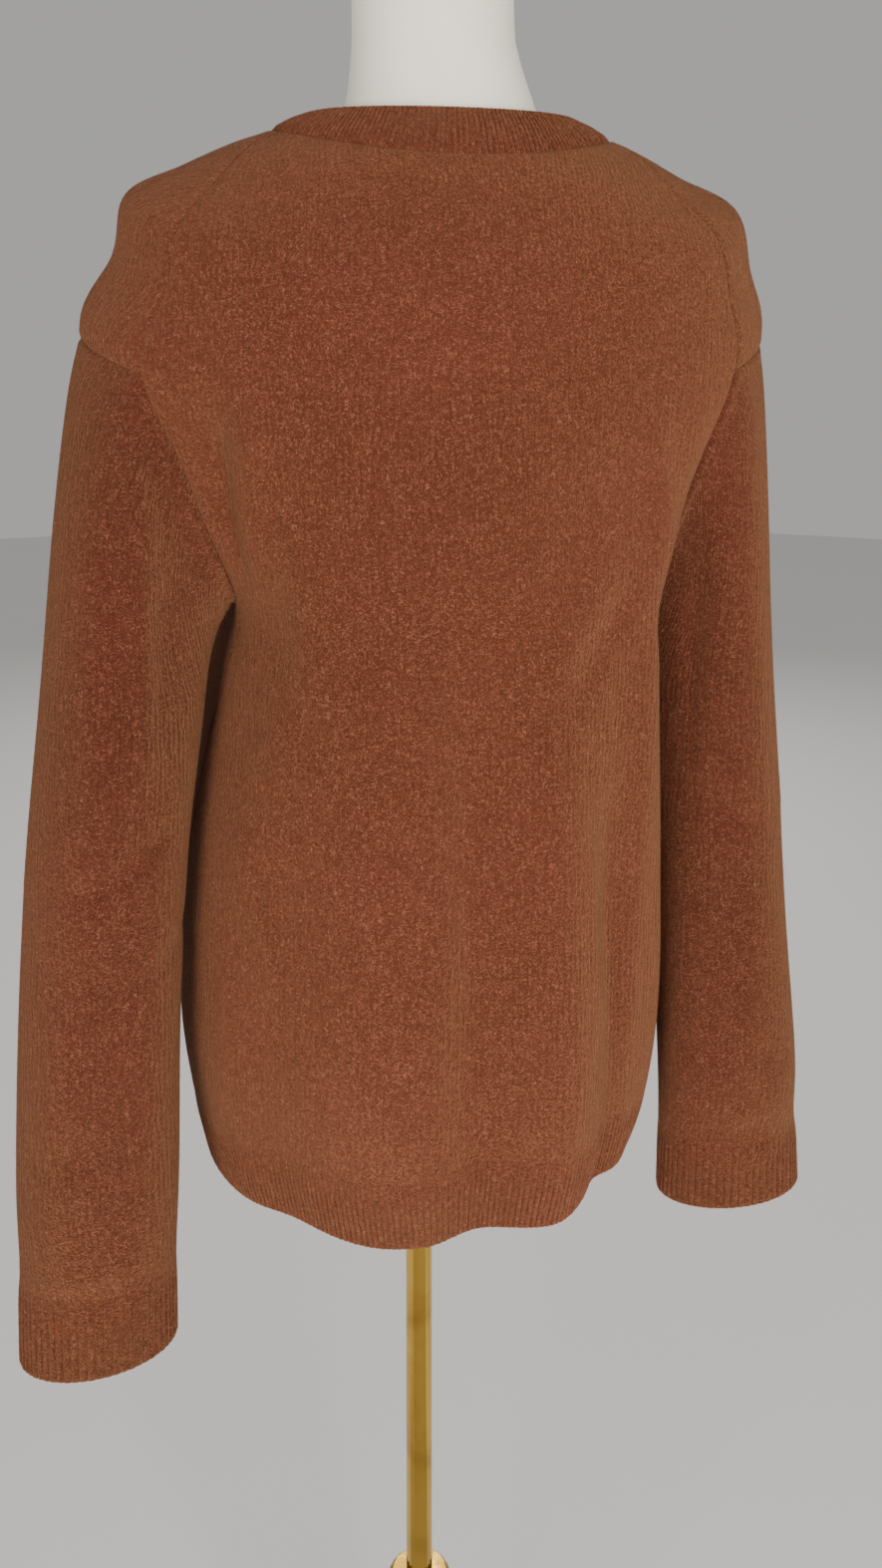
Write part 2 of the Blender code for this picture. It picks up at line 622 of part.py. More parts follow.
def form_torso(collection):
    """The dress form, a smooth solid with a flat underside and a flat neck top."""
    angles = np.linspace(0, 2 * np.pi, FORM_COLUMNS, endpoint=False)
    mesh = bmesh.new()
    rings = []
    for level in FORM:
        exponent = 2 / level.square
        x = level.x + power(np.sin(angles), exponent) * level.half
        y = power(np.cos(angles), exponent) * np.where(np.cos(angles) > 0, level.back, level.front)
        rings.append([mesh.verts.new((lean(a, level.z), b, level.z)) for a, b in zip(x, y)])
    for low, high in zip(rings, rings[1:]):
        for k in range(FORM_COLUMNS):
            n = (k + 1) % FORM_COLUMNS
            mesh.faces.new((low[k], high[k], high[n], low[n]))
    mesh.faces.new(rings[0])
    mesh.faces.new(list(reversed(rings[-1])))
    data = bpy.data.meshes.new("form_torso")
    mesh.to_mesh(data)
    mesh.free()
    data.shade_smooth()
    data.set_sharp_from_angle(angle=radians(50))
    return new_object("form_torso", data, FORM_COVER, collection)


def turned(name, profile, finish, collection):
    """A piece turned about the Z axis from (radius, height) points, which run down the outer side."""
    mesh = bpy.data.meshes.new(name)
    edges = [(k, k + 1) for k in range(len(profile) - 1)]
    mesh.from_pydata([(r, 0.0, z) for r, z in profile], edges, [])
    thing = new_object(name, mesh, finish, collection)
    screw = thing.modifiers.new("turn", "SCREW")
    screw.steps = screw.render_steps = ROUND_STEPS
    screw.use_merge_vertices = True
    screw.merge_threshold = 0.0001
    screw.use_smooth_shade = True
    return thing


def disc_profile(radius, bottom, top, edge):
    """Profile of a plain disc or rod with bevelled rims, from its top middle to its underside's."""
    return [
        (0.0, top),
        (radius - edge, top),
        (radius, top - edge),
        (radius, bottom + edge),
        (radius - edge, bottom),
        (0.0, bottom),
    ]


def stand(collection):
    """Pole, clamp, lower tube and base plate."""
    rim = 0.0005
    pole_top = FORM[0].z - TOUCH_GAP
    pole = disc_profile(POLE_RADIUS, CLAMP_TOP + TOUCH_GAP, pole_top, rim)
    turned("pole", pole, BRASS, collection)
    clamp = disc_profile(CLAMP_RADIUS, CLAMP_BOTTOM, CLAMP_TOP, CLAMP_EDGE)
    turned("pole_collar", clamp, BRASS, collection)
    tube = disc_profile(TUBE_RADIUS, BASE_THICKNESS + TOUCH_GAP, CLAMP_BOTTOM - TOUCH_GAP, rim)
    turned("lower_tube", tube, BRASS, collection)
    plate = disc_profile(BASE_RADIUS, 0.0, BASE_THICKNESS, BASE_EDGE)
    turned("base_plate", plate, BRASS, collection)


def main():
    """Builds every piece into one collection."""
    for thing in list(bpy.data.objects):
        bpy.data.objects.remove(thing, do_unlink=True)
    collection = bpy.data.collections.new("crewneck_sweater_on_dress_form")
    bpy.context.scene.collection.children.link(collection)

    sleeves = [Sleeve(1, SLEEVE_LEFT), Sleeve(-1, SLEEVE_RIGHT)]
    sheets = [back_sheet(), front_sheet(), *(sleeve_sheet(sleeve) for sleeve in sleeves)]
    share_armholes(sheets, sleeves)
    names = ("back_panel", "front_panel", "sleeve_left", "sleeve_right")
    for name, sheet in zip(names, sheets):
        cloth_object(name, sheet.wall(CLOTH_THICKNESS), KNIT_BODY, collection)

    side = seam_angle(0, "back")
    cloth_object("hem_rib_back", hem_shape(-side, side), KNIT_RIB, collection)
    cloth_object("hem_rib_front", hem_shape(side, 2 * np.pi - side), KNIT_RIB, collection)
    cloth_object("collar_rib", collar_shape(), KNIT_RIB, collection)
    for name, sleeve in zip(("cuff_rib_left", "cuff_rib_right"), sleeves):
        cloth_object(name, cuff_shape(sleeve), KNIT_RIB, collection)

    form_torso(collection)
    stand(collection)


main()
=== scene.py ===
"""Looks of a knitted crewneck sweater that hangs on a limbless dress form with a brass pole stand.

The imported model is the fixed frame. The cloth is rebuilt here on the same rings and sections as its
solids, finely enough for its ribs, seams, creases and fuzz. Metres, +Z up; the front faces -Y and the
wearer's left is +X. The camera looks at the back.
"""

import logging
from dataclasses import dataclass, field
from enum import Enum
from math import pi, radians
from typing import Callable, Sequence

import bpy
import numpy as np
from mathutils.kdtree import KDTree
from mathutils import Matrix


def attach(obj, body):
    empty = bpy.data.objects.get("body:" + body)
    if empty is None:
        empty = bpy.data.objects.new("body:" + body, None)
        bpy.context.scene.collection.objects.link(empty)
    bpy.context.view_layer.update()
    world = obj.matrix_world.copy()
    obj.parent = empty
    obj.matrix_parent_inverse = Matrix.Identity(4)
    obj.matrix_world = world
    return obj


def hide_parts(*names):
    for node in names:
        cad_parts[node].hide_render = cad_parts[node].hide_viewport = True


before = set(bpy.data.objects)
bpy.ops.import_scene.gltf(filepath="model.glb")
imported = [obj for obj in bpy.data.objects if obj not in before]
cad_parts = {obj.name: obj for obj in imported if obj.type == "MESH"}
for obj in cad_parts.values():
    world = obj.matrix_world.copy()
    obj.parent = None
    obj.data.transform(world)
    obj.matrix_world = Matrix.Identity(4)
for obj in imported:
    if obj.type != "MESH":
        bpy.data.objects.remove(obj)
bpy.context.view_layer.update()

LOG = logging.getLogger("sweater")
Array = np.ndarray
Surface = Callable[[Array, Array], Array]

SWEATER_MIDDLE = (0.0, 0.0, 1.0)
GOLDEN_ANGLE = 2.399963

# Small steps for slopes: of a surface's two places, and metres along a line.
SLOPE_STEP = 1e-3
LINE_STEP = 1e-4

# The form leans above its pole: metres to the wearer's right for each metre above the start.
LEAN = 0.0185
LEAN_START = 0.58

# Cloth, its seams and its ribs.
CLOTH_THICKNESS = 0.0022
SEAM_DIP = 0.0009
SEAM_DIP_WIDTH = 0.0015
SEAM_RIDGE = 0.0004
SEAM_RIDGE_AT = 0.0045
SEAM_RIDGE_WIDTH = 0.0026
RIM_ANGLE = radians(72)
RIB_PITCH = 0.0032

# How creases and folds end: shares of their length, and metres past the ends.
CREASE_HALF = 0.42
FADE_ROUNDNESS = 0.7
FOLD_RUN_BELOW = 0.05
FOLD_RUN_ABOVE = 0.02


# ---------------------------------------------------------------- sizes
@dataclass(frozen=True)
class Ring:
    """A ring of the body or collar.

    Attributes:
        name: What it is.
        z_back: Its height at the centre back; z_left, z_right and z_front are the other three.
        left: How far it reaches from the axis to the left; right, back and front are the other three.
        square: The power of its outline; 2 is an ellipse, more is squarer.
        rise: The power by which its height changes between the sides and the centres.
        rows: Mesh rows from it to the next ring.
    """

    name: str
    z_back: float
    z_left: float
    z_right: float
    z_front: float
    left: float
    right: float
    back: float
    front: float
    square: float
    rise: float
    rows: int = 0


@dataclass(frozen=True)
class Section:
    """A level section of a sleeve.

    Attributes:
        name: What it is.
        x: Its middle, with y and z.
        half_x: Half of its width; half_y is half of its depth.
        tilt: How much higher its outer side is than its middle.
        hold: How far it follows the armhole in place of its own outline.
        rows: Mesh rows from it to the next section.
    """

    name: str
    x: float
    y: float
    z: float
    half_x: float
    half_y: float
    tilt: float
    hold: float
    rows: int


@dataclass(frozen=True)
class Level:
    """A level section of the dress form.

    Attributes:
        name: What it is.
        z: Its height.
        x: Its middle.
        half: Half of its width; back and front are its reaches from the axis.
        square: The power of its outline.
    """

    name: str
    z: float
    x: float
    half: float
    back: float
    front: float
    square: float


@dataclass(frozen=True)
class Fold:
    """A soft ridge (out) or trough (in) that runs up the body or down a sleeve.

    Attributes:
        name: What it is.
        low: Its first height, or its first place on a sleeve; high is its last.
        angle_low: Its angle there, in degrees; angle_high is the angle at its other end.
        width: Metres of cloth from its middle to where it has mostly faded.
        depth: How far it moves the cloth out.
    """

    name: str
    low: float
    high: float
    angle_low: float
    angle_high: float
    width: float
    depth: float


@dataclass(frozen=True)
class Crease:
    """A short soft crease from one place to another.

    Attributes:
        name: What it is.
        angle_start: Its first angle, in degrees; angle_end is its last.
        start: Its first height, or metres down a sleeve; end is its last.
        width: Metres of cloth from its middle to where it has mostly faded.
        depth: How far it moves the cloth out.
    """

    name: str
    angle_start: float
    start: float
    angle_end: float
    end: float
    width: float
    depth: float


@dataclass(frozen=True)
class SeamMark:
    """The angles of the back's and the front's edge, in degrees, at one ring of the body."""

    ring: int
    back: float
    front: float


BODY_RINGS = (
    Ring("hem edge", 0.658, 0.651, 0.640, 0.634, 0.150, 0.145, 0.146, 0.138, 2.0, 1.6, 10),
    Ring("rib seam", 0.703, 0.695, 0.684, 0.678, 0.160, 0.152, 0.150, 0.146, 2.1, 1.8, 18),
    Ring("low hip", 0.765, 0.756, 0.750, 0.745, 0.168, 0.153, 0.149, 0.150, 2.2, 2.0, 22),
    Ring("hip", 0.850, 0.845, 0.845, 0.842, 0.165, 0.151, 0.142, 0.150, 2.1, 2.0, 22),
    Ring("waist", 0.930, 0.930, 0.930, 0.930, 0.152, 0.148, 0.133, 0.144, 2.2, 2.0, 16),
    Ring("ribs", 0.985, 0.982, 0.982, 0.982, 0.140, 0.146, 0.127, 0.143, 2.35, 2.0, 14),
    Ring("underarm", 1.034, 1.028, 1.028, 1.030, 0.134, 0.147, 0.123, 0.141, 2.5, 1.8, 18),
    Ring("mid armhole", 1.096, 1.106, 1.106, 1.085, 0.182, 0.188, 0.119, 0.136, 1.9, 1.6, 18),
    Ring("drop seam", 1.150, 1.201, 1.201, 1.130, 0.234, 0.236, 0.115, 0.127, 1.8, 1.3, 14),
    Ring("shoulder edge", 1.196, 1.256, 1.256, 1.165, 0.214, 0.225, 0.112, 0.120, 2.0, 1.3, 10),
    Ring("shoulder point", 1.232, 1.294, 1.294, 1.190, 0.206, 0.213, 0.108, 0.112, 2.1, 1.4, 12),
    Ring("mid shoulder", 1.266, 1.313, 1.313, 1.208, 0.170, 0.172, 0.102, 0.103, 2.1, 1.5, 10),
    Ring("inner shoulder", 1.294, 1.328, 1.328, 1.224, 0.138, 0.141, 0.094, 0.092, 2.1, 1.6, 8),
    Ring("neck seam", 1.3145, 1.3365, 1.3365, 1.238, 0.113, 0.118, 0.084, 0.078, 2.1, 1.6, 0),
)
HEM, RIB_SEAM, UNDERARM, DROP, NECK = 0, 1, 6, 8, 13

SIDE_SEAMS = (
    SeamMark(HEM, 86, 86),
    SeamMark(UNDERARM, 82, 82),
    SeamMark(UNDERARM + 1, 65, 102),
    SeamMark(DROP, 58, 110),
)
SHOULDER_SEAMS = (
    SeamMark(DROP, 58, 58),
    SeamMark(9, 57, 57),
    SeamMark(10, 56, 56),
    SeamMark(11, 61, 61),
    SeamMark(12, 69, 69),
    SeamMark(NECK, 77, 77),
)

BODY_FOLDS = (
    Fold("centre trough", 0.600, 1.020, -4, -5, 0.022, -0.009),
    Fold("left ridge", 0.600, 0.980, 17, 20, 0.030, 0.006),
    Fold("right ridge", 0.600, 0.950, -24, -22, 0.022, 0.008),
    Fold("left side trough", 0.600, 0.870, 42, 46, 0.026, -0.005),
    Fold("right side trough", 0.600, 0.900, -44, -40, 0.018, -0.008),
    Fold("right armhole ridge", 0.700, 1.150, -66, -52, 0.028, 0.014),
    Fold("left armhole trough", 0.940, 1.200, 62, 46, 0.030, -0.006),
    Fold("left side ridge", 0.780, 1.040, 114, 108, 0.032, 0.018),
    Fold("front centre trough", 0.600, 1.010, 186, 182, 0.030, -0.008),
    Fold("front left ridge", 0.600, 0.980, 152, 158, 0.028, 0.007),
    Fold("front right ridge", 0.600, 0.950, 211, 204, 0.026, 0.007),
    Fold("front left trough", 0.600, 0.880, 130, 134, 0.026, -0.006),
    Fold("front right trough", 0.600, 0.870, 232, 228, 0.026, -0.006),
)

BODY_CREASES = (
    Crease("blade hollow left", 30, 1.120, 12, 1.000, 0.028, -0.0026),
    Crease("blade hollow right", -33, 1.130, -14, 1.010, 0.024, -0.0028),
    Crease("left armpit valley", 41, 1.170, 66, 1.045, 0.011, -0.0056),
    Crease("left blade edge", 33, 1.165, 62, 1.035, 0.012, 0.0046),
    Crease("left underarm drag", 60, 1.020, 30, 0.940, 0.012, -0.0022),
    Crease("right blade edge", -34, 1.160, -56, 1.050, 0.011, 0.0036),
    Crease("right side edge", -56, 1.055, -47, 0.690, 0.011, 0.0026),
    Crease("right underarm drag", -46, 1.050, -22, 0.965, 0.012, -0.0028),
    Crease("centre line", 0, 1.030, -2, 0.690, 0.010, -0.0036),
    Crease("small of back ripple", 20, 0.905, -2, 0.880, 0.014, -0.0018),
    Crease("left hip line", 58, 0.900, 38, 0.790, 0.016, 0.0026),
    Crease("right hip line", -30, 0.900, -34, 0.760, 0.010, 0.0026),
    Crease("hem ripple", 8, 0.640, 5, 0.860, 0.011, 0.0034),
    Crease("front underarm drag left", 118, 1.050, 148, 0.960, 0.013, -0.0018),
    Crease("front underarm drag right", 240, 1.060, 214, 0.950, 0.015, -0.0016),
    Crease("chest drape", 160, 1.130, 172, 1.020, 0.026, -0.0018),
    Crease("belly ripple", 196, 0.900, 174, 0.870, 0.015, -0.0012),
)

SLEEVE_LEFT = (
    Section("armhole", 0.197, 0.002, 1.100, 0.049, 0.054, 0.078, 1.00, 10),
    Section("cap", 0.200, 0.007, 1.073, 0.049, 0.053, 0.066, 0.50, 14),
    Section("upper", 0.203, 0.016, 1.030, 0.049, 0.051, 0.044, 0.14, 18),
    Section("biceps", 0.206, 0.029, 0.972, 0.0495, 0.049, 0.020, 0.00, 28),
    Section("elbow", 0.214, 0.046, 0.880, 0.0490, 0.047, 0.004, 0.00, 30),
    Section("forearm", 0.2185, 0.061, 0.780, 0.0490, 0.043, 0.000, 0.00, 30),
    Section("wrist", 0.219, 0.074, 0.680, 0.0490, 0.038, 0.000, 0.00, 16),
    Section("cuff seam", 0.218, 0.080, 0.626, 0.0465, 0.032, 0.000, 0.00, 10),
    Section("cuff edge", 0.217, 0.083, 0.575, 0.0462, 0.028, -0.002, 0.00, 0),
)
SLEEVE_RIGHT = (
    Section("armhole", -0.203, -0.004, 1.100, 0.042, 0.054, 0.078, 1.00, 10),
    Section("cap", -0.203, -0.005, 1.073, 0.044, 0.053, 0.066, 0.50, 14),
    Section("upper", -0.204, -0.005, 1.030, 0.045, 0.051, 0.044, 0.14, 18),
    Section("biceps", -0.2065, -0.003, 0.972, 0.0465, 0.049, 0.020, 0.00, 28),
    Section("elbow", -0.2105, 0.008, 0.885, 0.0475, 0.047, 0.004, 0.00, 30),
    Section("forearm", -0.2140, 0.024, 0.790, 0.0485, 0.043, 0.000, 0.00, 30),
    Section("wrist", -0.2170, 0.040, 0.690, 0.0505, 0.038, 0.000, 0.00, 16),
    Section("cuff seam", -0.216, 0.044, 0.643, 0.0495, 0.032, 0.000, 0.00, 10),
    Section("cuff edge", -0.2170, 0.046, 0.596, 0.0512, 0.028, 0.000, 0.00, 0),
)
CUFF_SEAM, CUFF_EDGE = 7, 8

SLEEVE_FOLDS = (
    Fold("back ridge", 0.4, 4.6, 62, 84, 0.024, 0.005),
    Fold("armpit trough", 0.3, 3.2, 128, 112, 0.024, -0.006),
    Fold("front trough", 0.6, 3.6, 228, 246, 0.026, -0.006),
    Fold("front ridge", 1.0, 4.8, 278, 286, 0.026, 0.005),
    Fold("back trough", 3.2, 6.4, 118, 92, 0.020, -0.003),
    Fold("outer trough", 4.2, 7.2, 28, 18, 0.022, -0.003),
)
SLEEVE_CREASES = (
    Crease("elbow break", 150, 0.200, 60, 0.250, 0.010, -0.0024),
    Crease("second elbow break", 200, 0.270, 110, 0.300, 0.009, -0.0014),
    Crease("front elbow fold", 300, 0.220, 220, 0.260, 0.010, -0.0018),
    Crease("forearm ripple", 90, 0.380, 40, 0.410, 0.012, -0.0018),
    Crease("wrist slump", 130, 0.462, 50, 0.470, 0.009, 0.0014),
    Crease("front wrist slump", 310, 0.465, 230, 0.455, 0.010, 0.0014),
)
LEFT_CREASES = (
    Crease("ridge below the shoulder", 50, 0.003, 100, 0.060, 0.008, 0.0032),
    Crease("ridge down the arm", 97, 0.050, 112, 0.185, 0.009, 0.0044),
    Crease("hollow beside the ridge", 80, 0.040, 92, 0.170, 0.010, -0.0030),
    Crease("long forearm line", 70, 0.300, 62, 0.440, 0.012, 0.0020),
)
RIGHT_CREASES = (
    Crease("fold down the arm", 112, 0.040, 131, 0.200, 0.009, -0.0038),
    Crease("ridge beside the fold", 96, 0.050, 112, 0.200, 0.010, 0.0020),
    Crease("long forearm line", 80, 0.280, 92, 0.430, 0.012, 0.0020),
)

COLLAR_RINGS = (
    Ring("neck seam", 1.3145, 1.3365, 1.3365, 1.238, 0.113, 0.118, 0.084, 0.078, 2.1, 1.6),
    Ring("middle", 1.3305, 1.3435, 1.3435, 1.252, 0.102, 0.105, 0.081, 0.071, 2.1, 1.6),
    Ring("collar edge", 1.3440, 1.3470, 1.3470, 1.264, 0.091, 0.092, 0.075, 0.064, 2.1, 1.6),
)

FORM_LEVELS = (
    Level("underside edge", 0.700, 0.0, 0.120, 0.098, 0.092, 2.2),
    Level("underside curve", 0.703, 0.0, 0.132, 0.110, 0.104, 2.2),
    Level("seat", 0.725, 0.0, 0.140, 0.122, 0.114, 2.2),
    Level("hip", 0.800, 0.0, 0.144, 0.124, 0.116, 2.2),
    Level("high hip", 0.870, 0.0, 0.134, 0.106, 0.108, 2.1),
    Level("waist", 0.950, 0.0, 0.116, 0.088, 0.096, 2.1),
    Level("ribs", 1.010, 0.0, 0.119, 0.092, 0.106, 2.1),
    Level("bust", 1.070, 0.0, 0.125, 0.100, 0.122, 2.2),
    Level("chest", 1.140, 0.0, 0.140, 0.100, 0.108, 2.2),
    Level("armhole", 1.200, 0.0, 0.158, 0.090, 0.086, 2.2),
    Level("shoulder cap", 1.250, 0.0, 0.180, 0.072, 0.066, 2.2),
    Level("shoulder end", 1.272, 0.0, 0.184, 0.060, 0.054, 2.2),
    Level("shoulder top", 1.287, 0.0, 0.172, 0.052, 0.049, 1.8),
    Level("shoulder slope", 1.300, 0.0, 0.140, 0.051, 0.050, 1.6),
    Level("neck root", 1.318, -0.002, 0.094, 0.056, 0.052, 1.6),
    Level("neck flare", 1.338, -0.002, 0.073, 0.060, 0.053, 1.8),
    Level("neck base", 1.360, -0.001, 0.0640, 0.059, 0.055, 2.0),
    Level("neck", 1.400, 0.004, 0.0555, 0.0555, 0.0555, 2.0),
    Level("neck upper", 1.455, 0.006, 0.0545, 0.0545, 0.0545, 2.0),
    Level("neck edge", 1.462, 0.006, 0.0520, 0.0520, 0.0520, 2.0),
    Level("neck top", 1.464, 0.006, 0.0485, 0.0485, 0.0485, 2.0),
)


class Side(Enum):
    """The wearer's two sides, as the sign of x."""

    LEFT = 1
    RIGHT = -1


class Edge(Enum):
    """Which panel's edge a seam angle belongs to."""

    BACK = "back"
    FRONT = "front"


class Held(Enum):
    """How a sheet of cloth is held."""

    DRAPED = "draped"
    HUNG = "hung"
    STRETCHED = "stretched"


# ---------------------------------------------------------------- curves and surfaces
def column(table: Sequence, name: str) -> Array:
    """One named column of a table, as an array."""
    return np.array([getattr(row, name) for row in table], float)


def along(values: Array, place: Array) -> Array:
    """A smooth curve through values, read at a place counted in rows.

    Args:
        values: The values at rows 0, 1, 2 and so on.
        place: Where to read, also between rows.

    Returns:
        The curve's values at those places.
    """
    last = len(values) - 1
    place = np.clip(np.asarray(place, float), 0, last)
    i = np.minimum(place.astype(int), last - 1)
    t = place - i
    before, after = values[np.maximum(i - 1, 0)], values[np.minimum(i + 2, last)]
    start, end = values[i], values[i + 1]
    slope_start = np.where(i > 0, (end - before) / 2, end - start)
    slope_end = np.where(i + 2 <= last, (after - start) / 2, end - start)
    return (
        start * (1 + 2 * t) * (1 - t) ** 2
        + slope_start * t * (1 - t) ** 2
        + end * t**2 * (3 - 2 * t)
        + slope_end * t**2 * (t - 1)
    )


def power(value: Array, exponent: Array) -> Array:
    """The value's size to a power, with its sign kept."""
    return np.sign(value) * np.abs(value) ** exponent


def lean(x: Array, z: Array) -> Array:
    """Moves x with the height, as the dress form leans above its pole."""
    return x - LEAN * (z - LEAN_START)


def unit(vectors: Array) -> Array:
    """Vectors of length 1."""
    return vectors / np.linalg.norm(vectors, axis=-1, keepdims=True)


def normals_of(surface: Surface, u: Array, v: Array) -> Array:
    """Unit normals of a surface, which point out when v x u does.

    Args:
        surface: Gives points for two arrays of places.
        u: The first places.
        v: The second places.

    Returns:
        One normal for each pair of places.
    """
    along_u = surface(u + SLOPE_STEP, v) - surface(u - SLOPE_STEP, v)
    along_v = surface(u, v + SLOPE_STEP) - surface(u, v - SLOPE_STEP)
    return unit(np.cross(along_v, along_u))


def bump(distance: Array, width: float) -> Array:
    """A soft hill of height 1 at distance 0 that fades out in about its width."""
    return np.exp(-((distance / width) ** 2))


def fade(value: Array, low: float, high: float) -> Array:
    """Rises from 0 at low to 1 near the middle and falls to 0 at high, with full shoulders."""
    t = np.clip((value - low) / (high - low), 0, 1)
    return np.sin(np.pi * t) ** FADE_ROUNDNESS


def crease_shift(creases: Sequence[Crease], angle: Array, along_cloth: Array, radius: Array) -> Array:
    """How far short creases move the cloth out.

    Args:
        creases: The creases.
        angle: Each point's angle, in radians.
        along_cloth: Each point's height, or metres down the sleeve.
        radius: Metres of cloth for each radian there.

    Returns:
        The move along the normal, in metres.
    """
    shift = np.zeros(np.broadcast(angle, along_cloth).shape)
    for crease in creases:
        middle = radians((crease.angle_start + crease.angle_end) / 2)
        turn = middle + np.angle(np.exp(1j * (angle - middle)))
        across = (turn - radians(crease.angle_start)) * radius
        rise = along_cloth - crease.start
        end_across = radians(crease.angle_end - crease.angle_start) * radius
        end_rise = crease.end - crease.start
        length = np.hypot(end_across, end_rise)
        share = (across * end_across + rise * end_rise) / length**2
        away = (across * end_rise - rise * end_across) / length
        taper = np.exp(-((np.abs(share - 0.5) / CREASE_HALF) ** 4))
        shift = shift + crease.depth * bump(away, crease.width) * taper
    return shift


def ring_points(table: Sequence[Ring], angle: Array, place: Array) -> Array:
    """Points of a table of rings; angles run from the centre back towards the wearer's left.

    Args:
        table: The rings.
        angle: Angles in radians.
        place: Places counted in rings.

    Returns:
        Points, with x, y and z last.
    """

    def read(name: str) -> Array:
        """One column at the places."""
        return along(column(table, name), place)

    sine, cosine = np.sin(angle), np.cos(angle)
    exponent = 2 / read("square")
    x = power(sine, exponent) * np.where(sine > 0, read("left"), read("right"))
    y = power(cosine, exponent) * np.where(cosine > 0, read("back"), read("front"))
    centre = np.where(cosine > 0, read("z_back"), read("z_front"))
    side = np.where(sine > 0, read("z_left"), read("z_right"))
    z = side + (centre - side) * np.abs(cosine) ** read("rise")
    return np.stack(np.broadcast_arrays(lean(x, z), y, z), axis=-1)


def body_smooth(angle: Array, place: Array) -> Array:
    """The body's middle layer without its folds."""
    return ring_points(BODY_RINGS, angle, place)


def body_surface(angle: Array, place: Array) -> Array:
    """The body's middle layer with its folds and creases.

    Args:
        angle: Angles from the centre back towards the wearer's left, in radians.
        place: Places counted in the body's rings.

    Returns:
        Points, with x, y and z last.
    """
    place = np.clip(place, 0, NECK)
    points = body_smooth(angle, place)
    normal = normals_of(body_smooth, angle, place)
    height, around = points[..., 2], np.hypot(points[..., 0], points[..., 1])
    shift = crease_shift(BODY_CREASES, angle, height, around)
    for fold in BODY_FOLDS:
        share = np.clip((height - fold.low) / (fold.high - fold.low), 0, 1)
        middle = np.radians(fold.angle_low + (fold.angle_high - fold.angle_low) * share)
        turn = np.angle(np.exp(1j * (angle - middle)))
        ends = fade(height, fold.low - FOLD_RUN_BELOW, fold.high + FOLD_RUN_ABOVE)
        shift = shift + fold.depth * bump(turn * around, fold.width) * ends
    return points + normal * shift[..., None]


def collar_surface(angle: Array, place: Array) -> Array:
    """The collar's middle layer."""
    return ring_points(COLLAR_RINGS, angle, place)


def seam_angle(place: float, edge: Edge) -> float:
    """The angle of a panel's edge at a place on the body.

    Args:
        place: The place, counted in the body's rings.
        edge: The back's or the front's edge. Above the dropped seam they are the same.

    Returns:
        The angle from the centre back on the wearer's left, in radians.
    """
    if place > DROP + 1e-6:
        angle = along(column(SHOULDER_SEAMS, edge.value), place - DROP)
    elif place > UNDERARM:
        armhole = SIDE_SEAMS[1:]
        curve = np.polyfit(column(armhole, "ring"), column(armhole, edge.value), len(armhole) - 1)
        angle = np.polyval(curve, place)
    else:
        angle = np.interp(place, column(SIDE_SEAMS, "ring"), column(SIDE_SEAMS, edge.value))
    return float(np.radians(angle))


def ring_places(table: Sequence, first: int, last: int) -> list[float]:
    """The mesh rows' places between two rows of a table.

    Args:
        table: Rings or sections, each with a number of mesh rows up to the next one.
        first: The row to start from.
        last: The row to end at.

    Returns:
        The places, both ends among them.
    """
    places = [float(first)]
    for row in range(first, last):
        places += [row + (k + 1) / table[row].rows for k in range(table[row].rows)]
    return places


def with_seam_rows(places: Sequence[float], near: float = 0.03) -> list[float]:
    """The places with one more row close to the first and one close to the last, for a crisp seam."""
    return [places[0], places[0] + near, *places[1:-1], places[-1] - near, places[-1]]


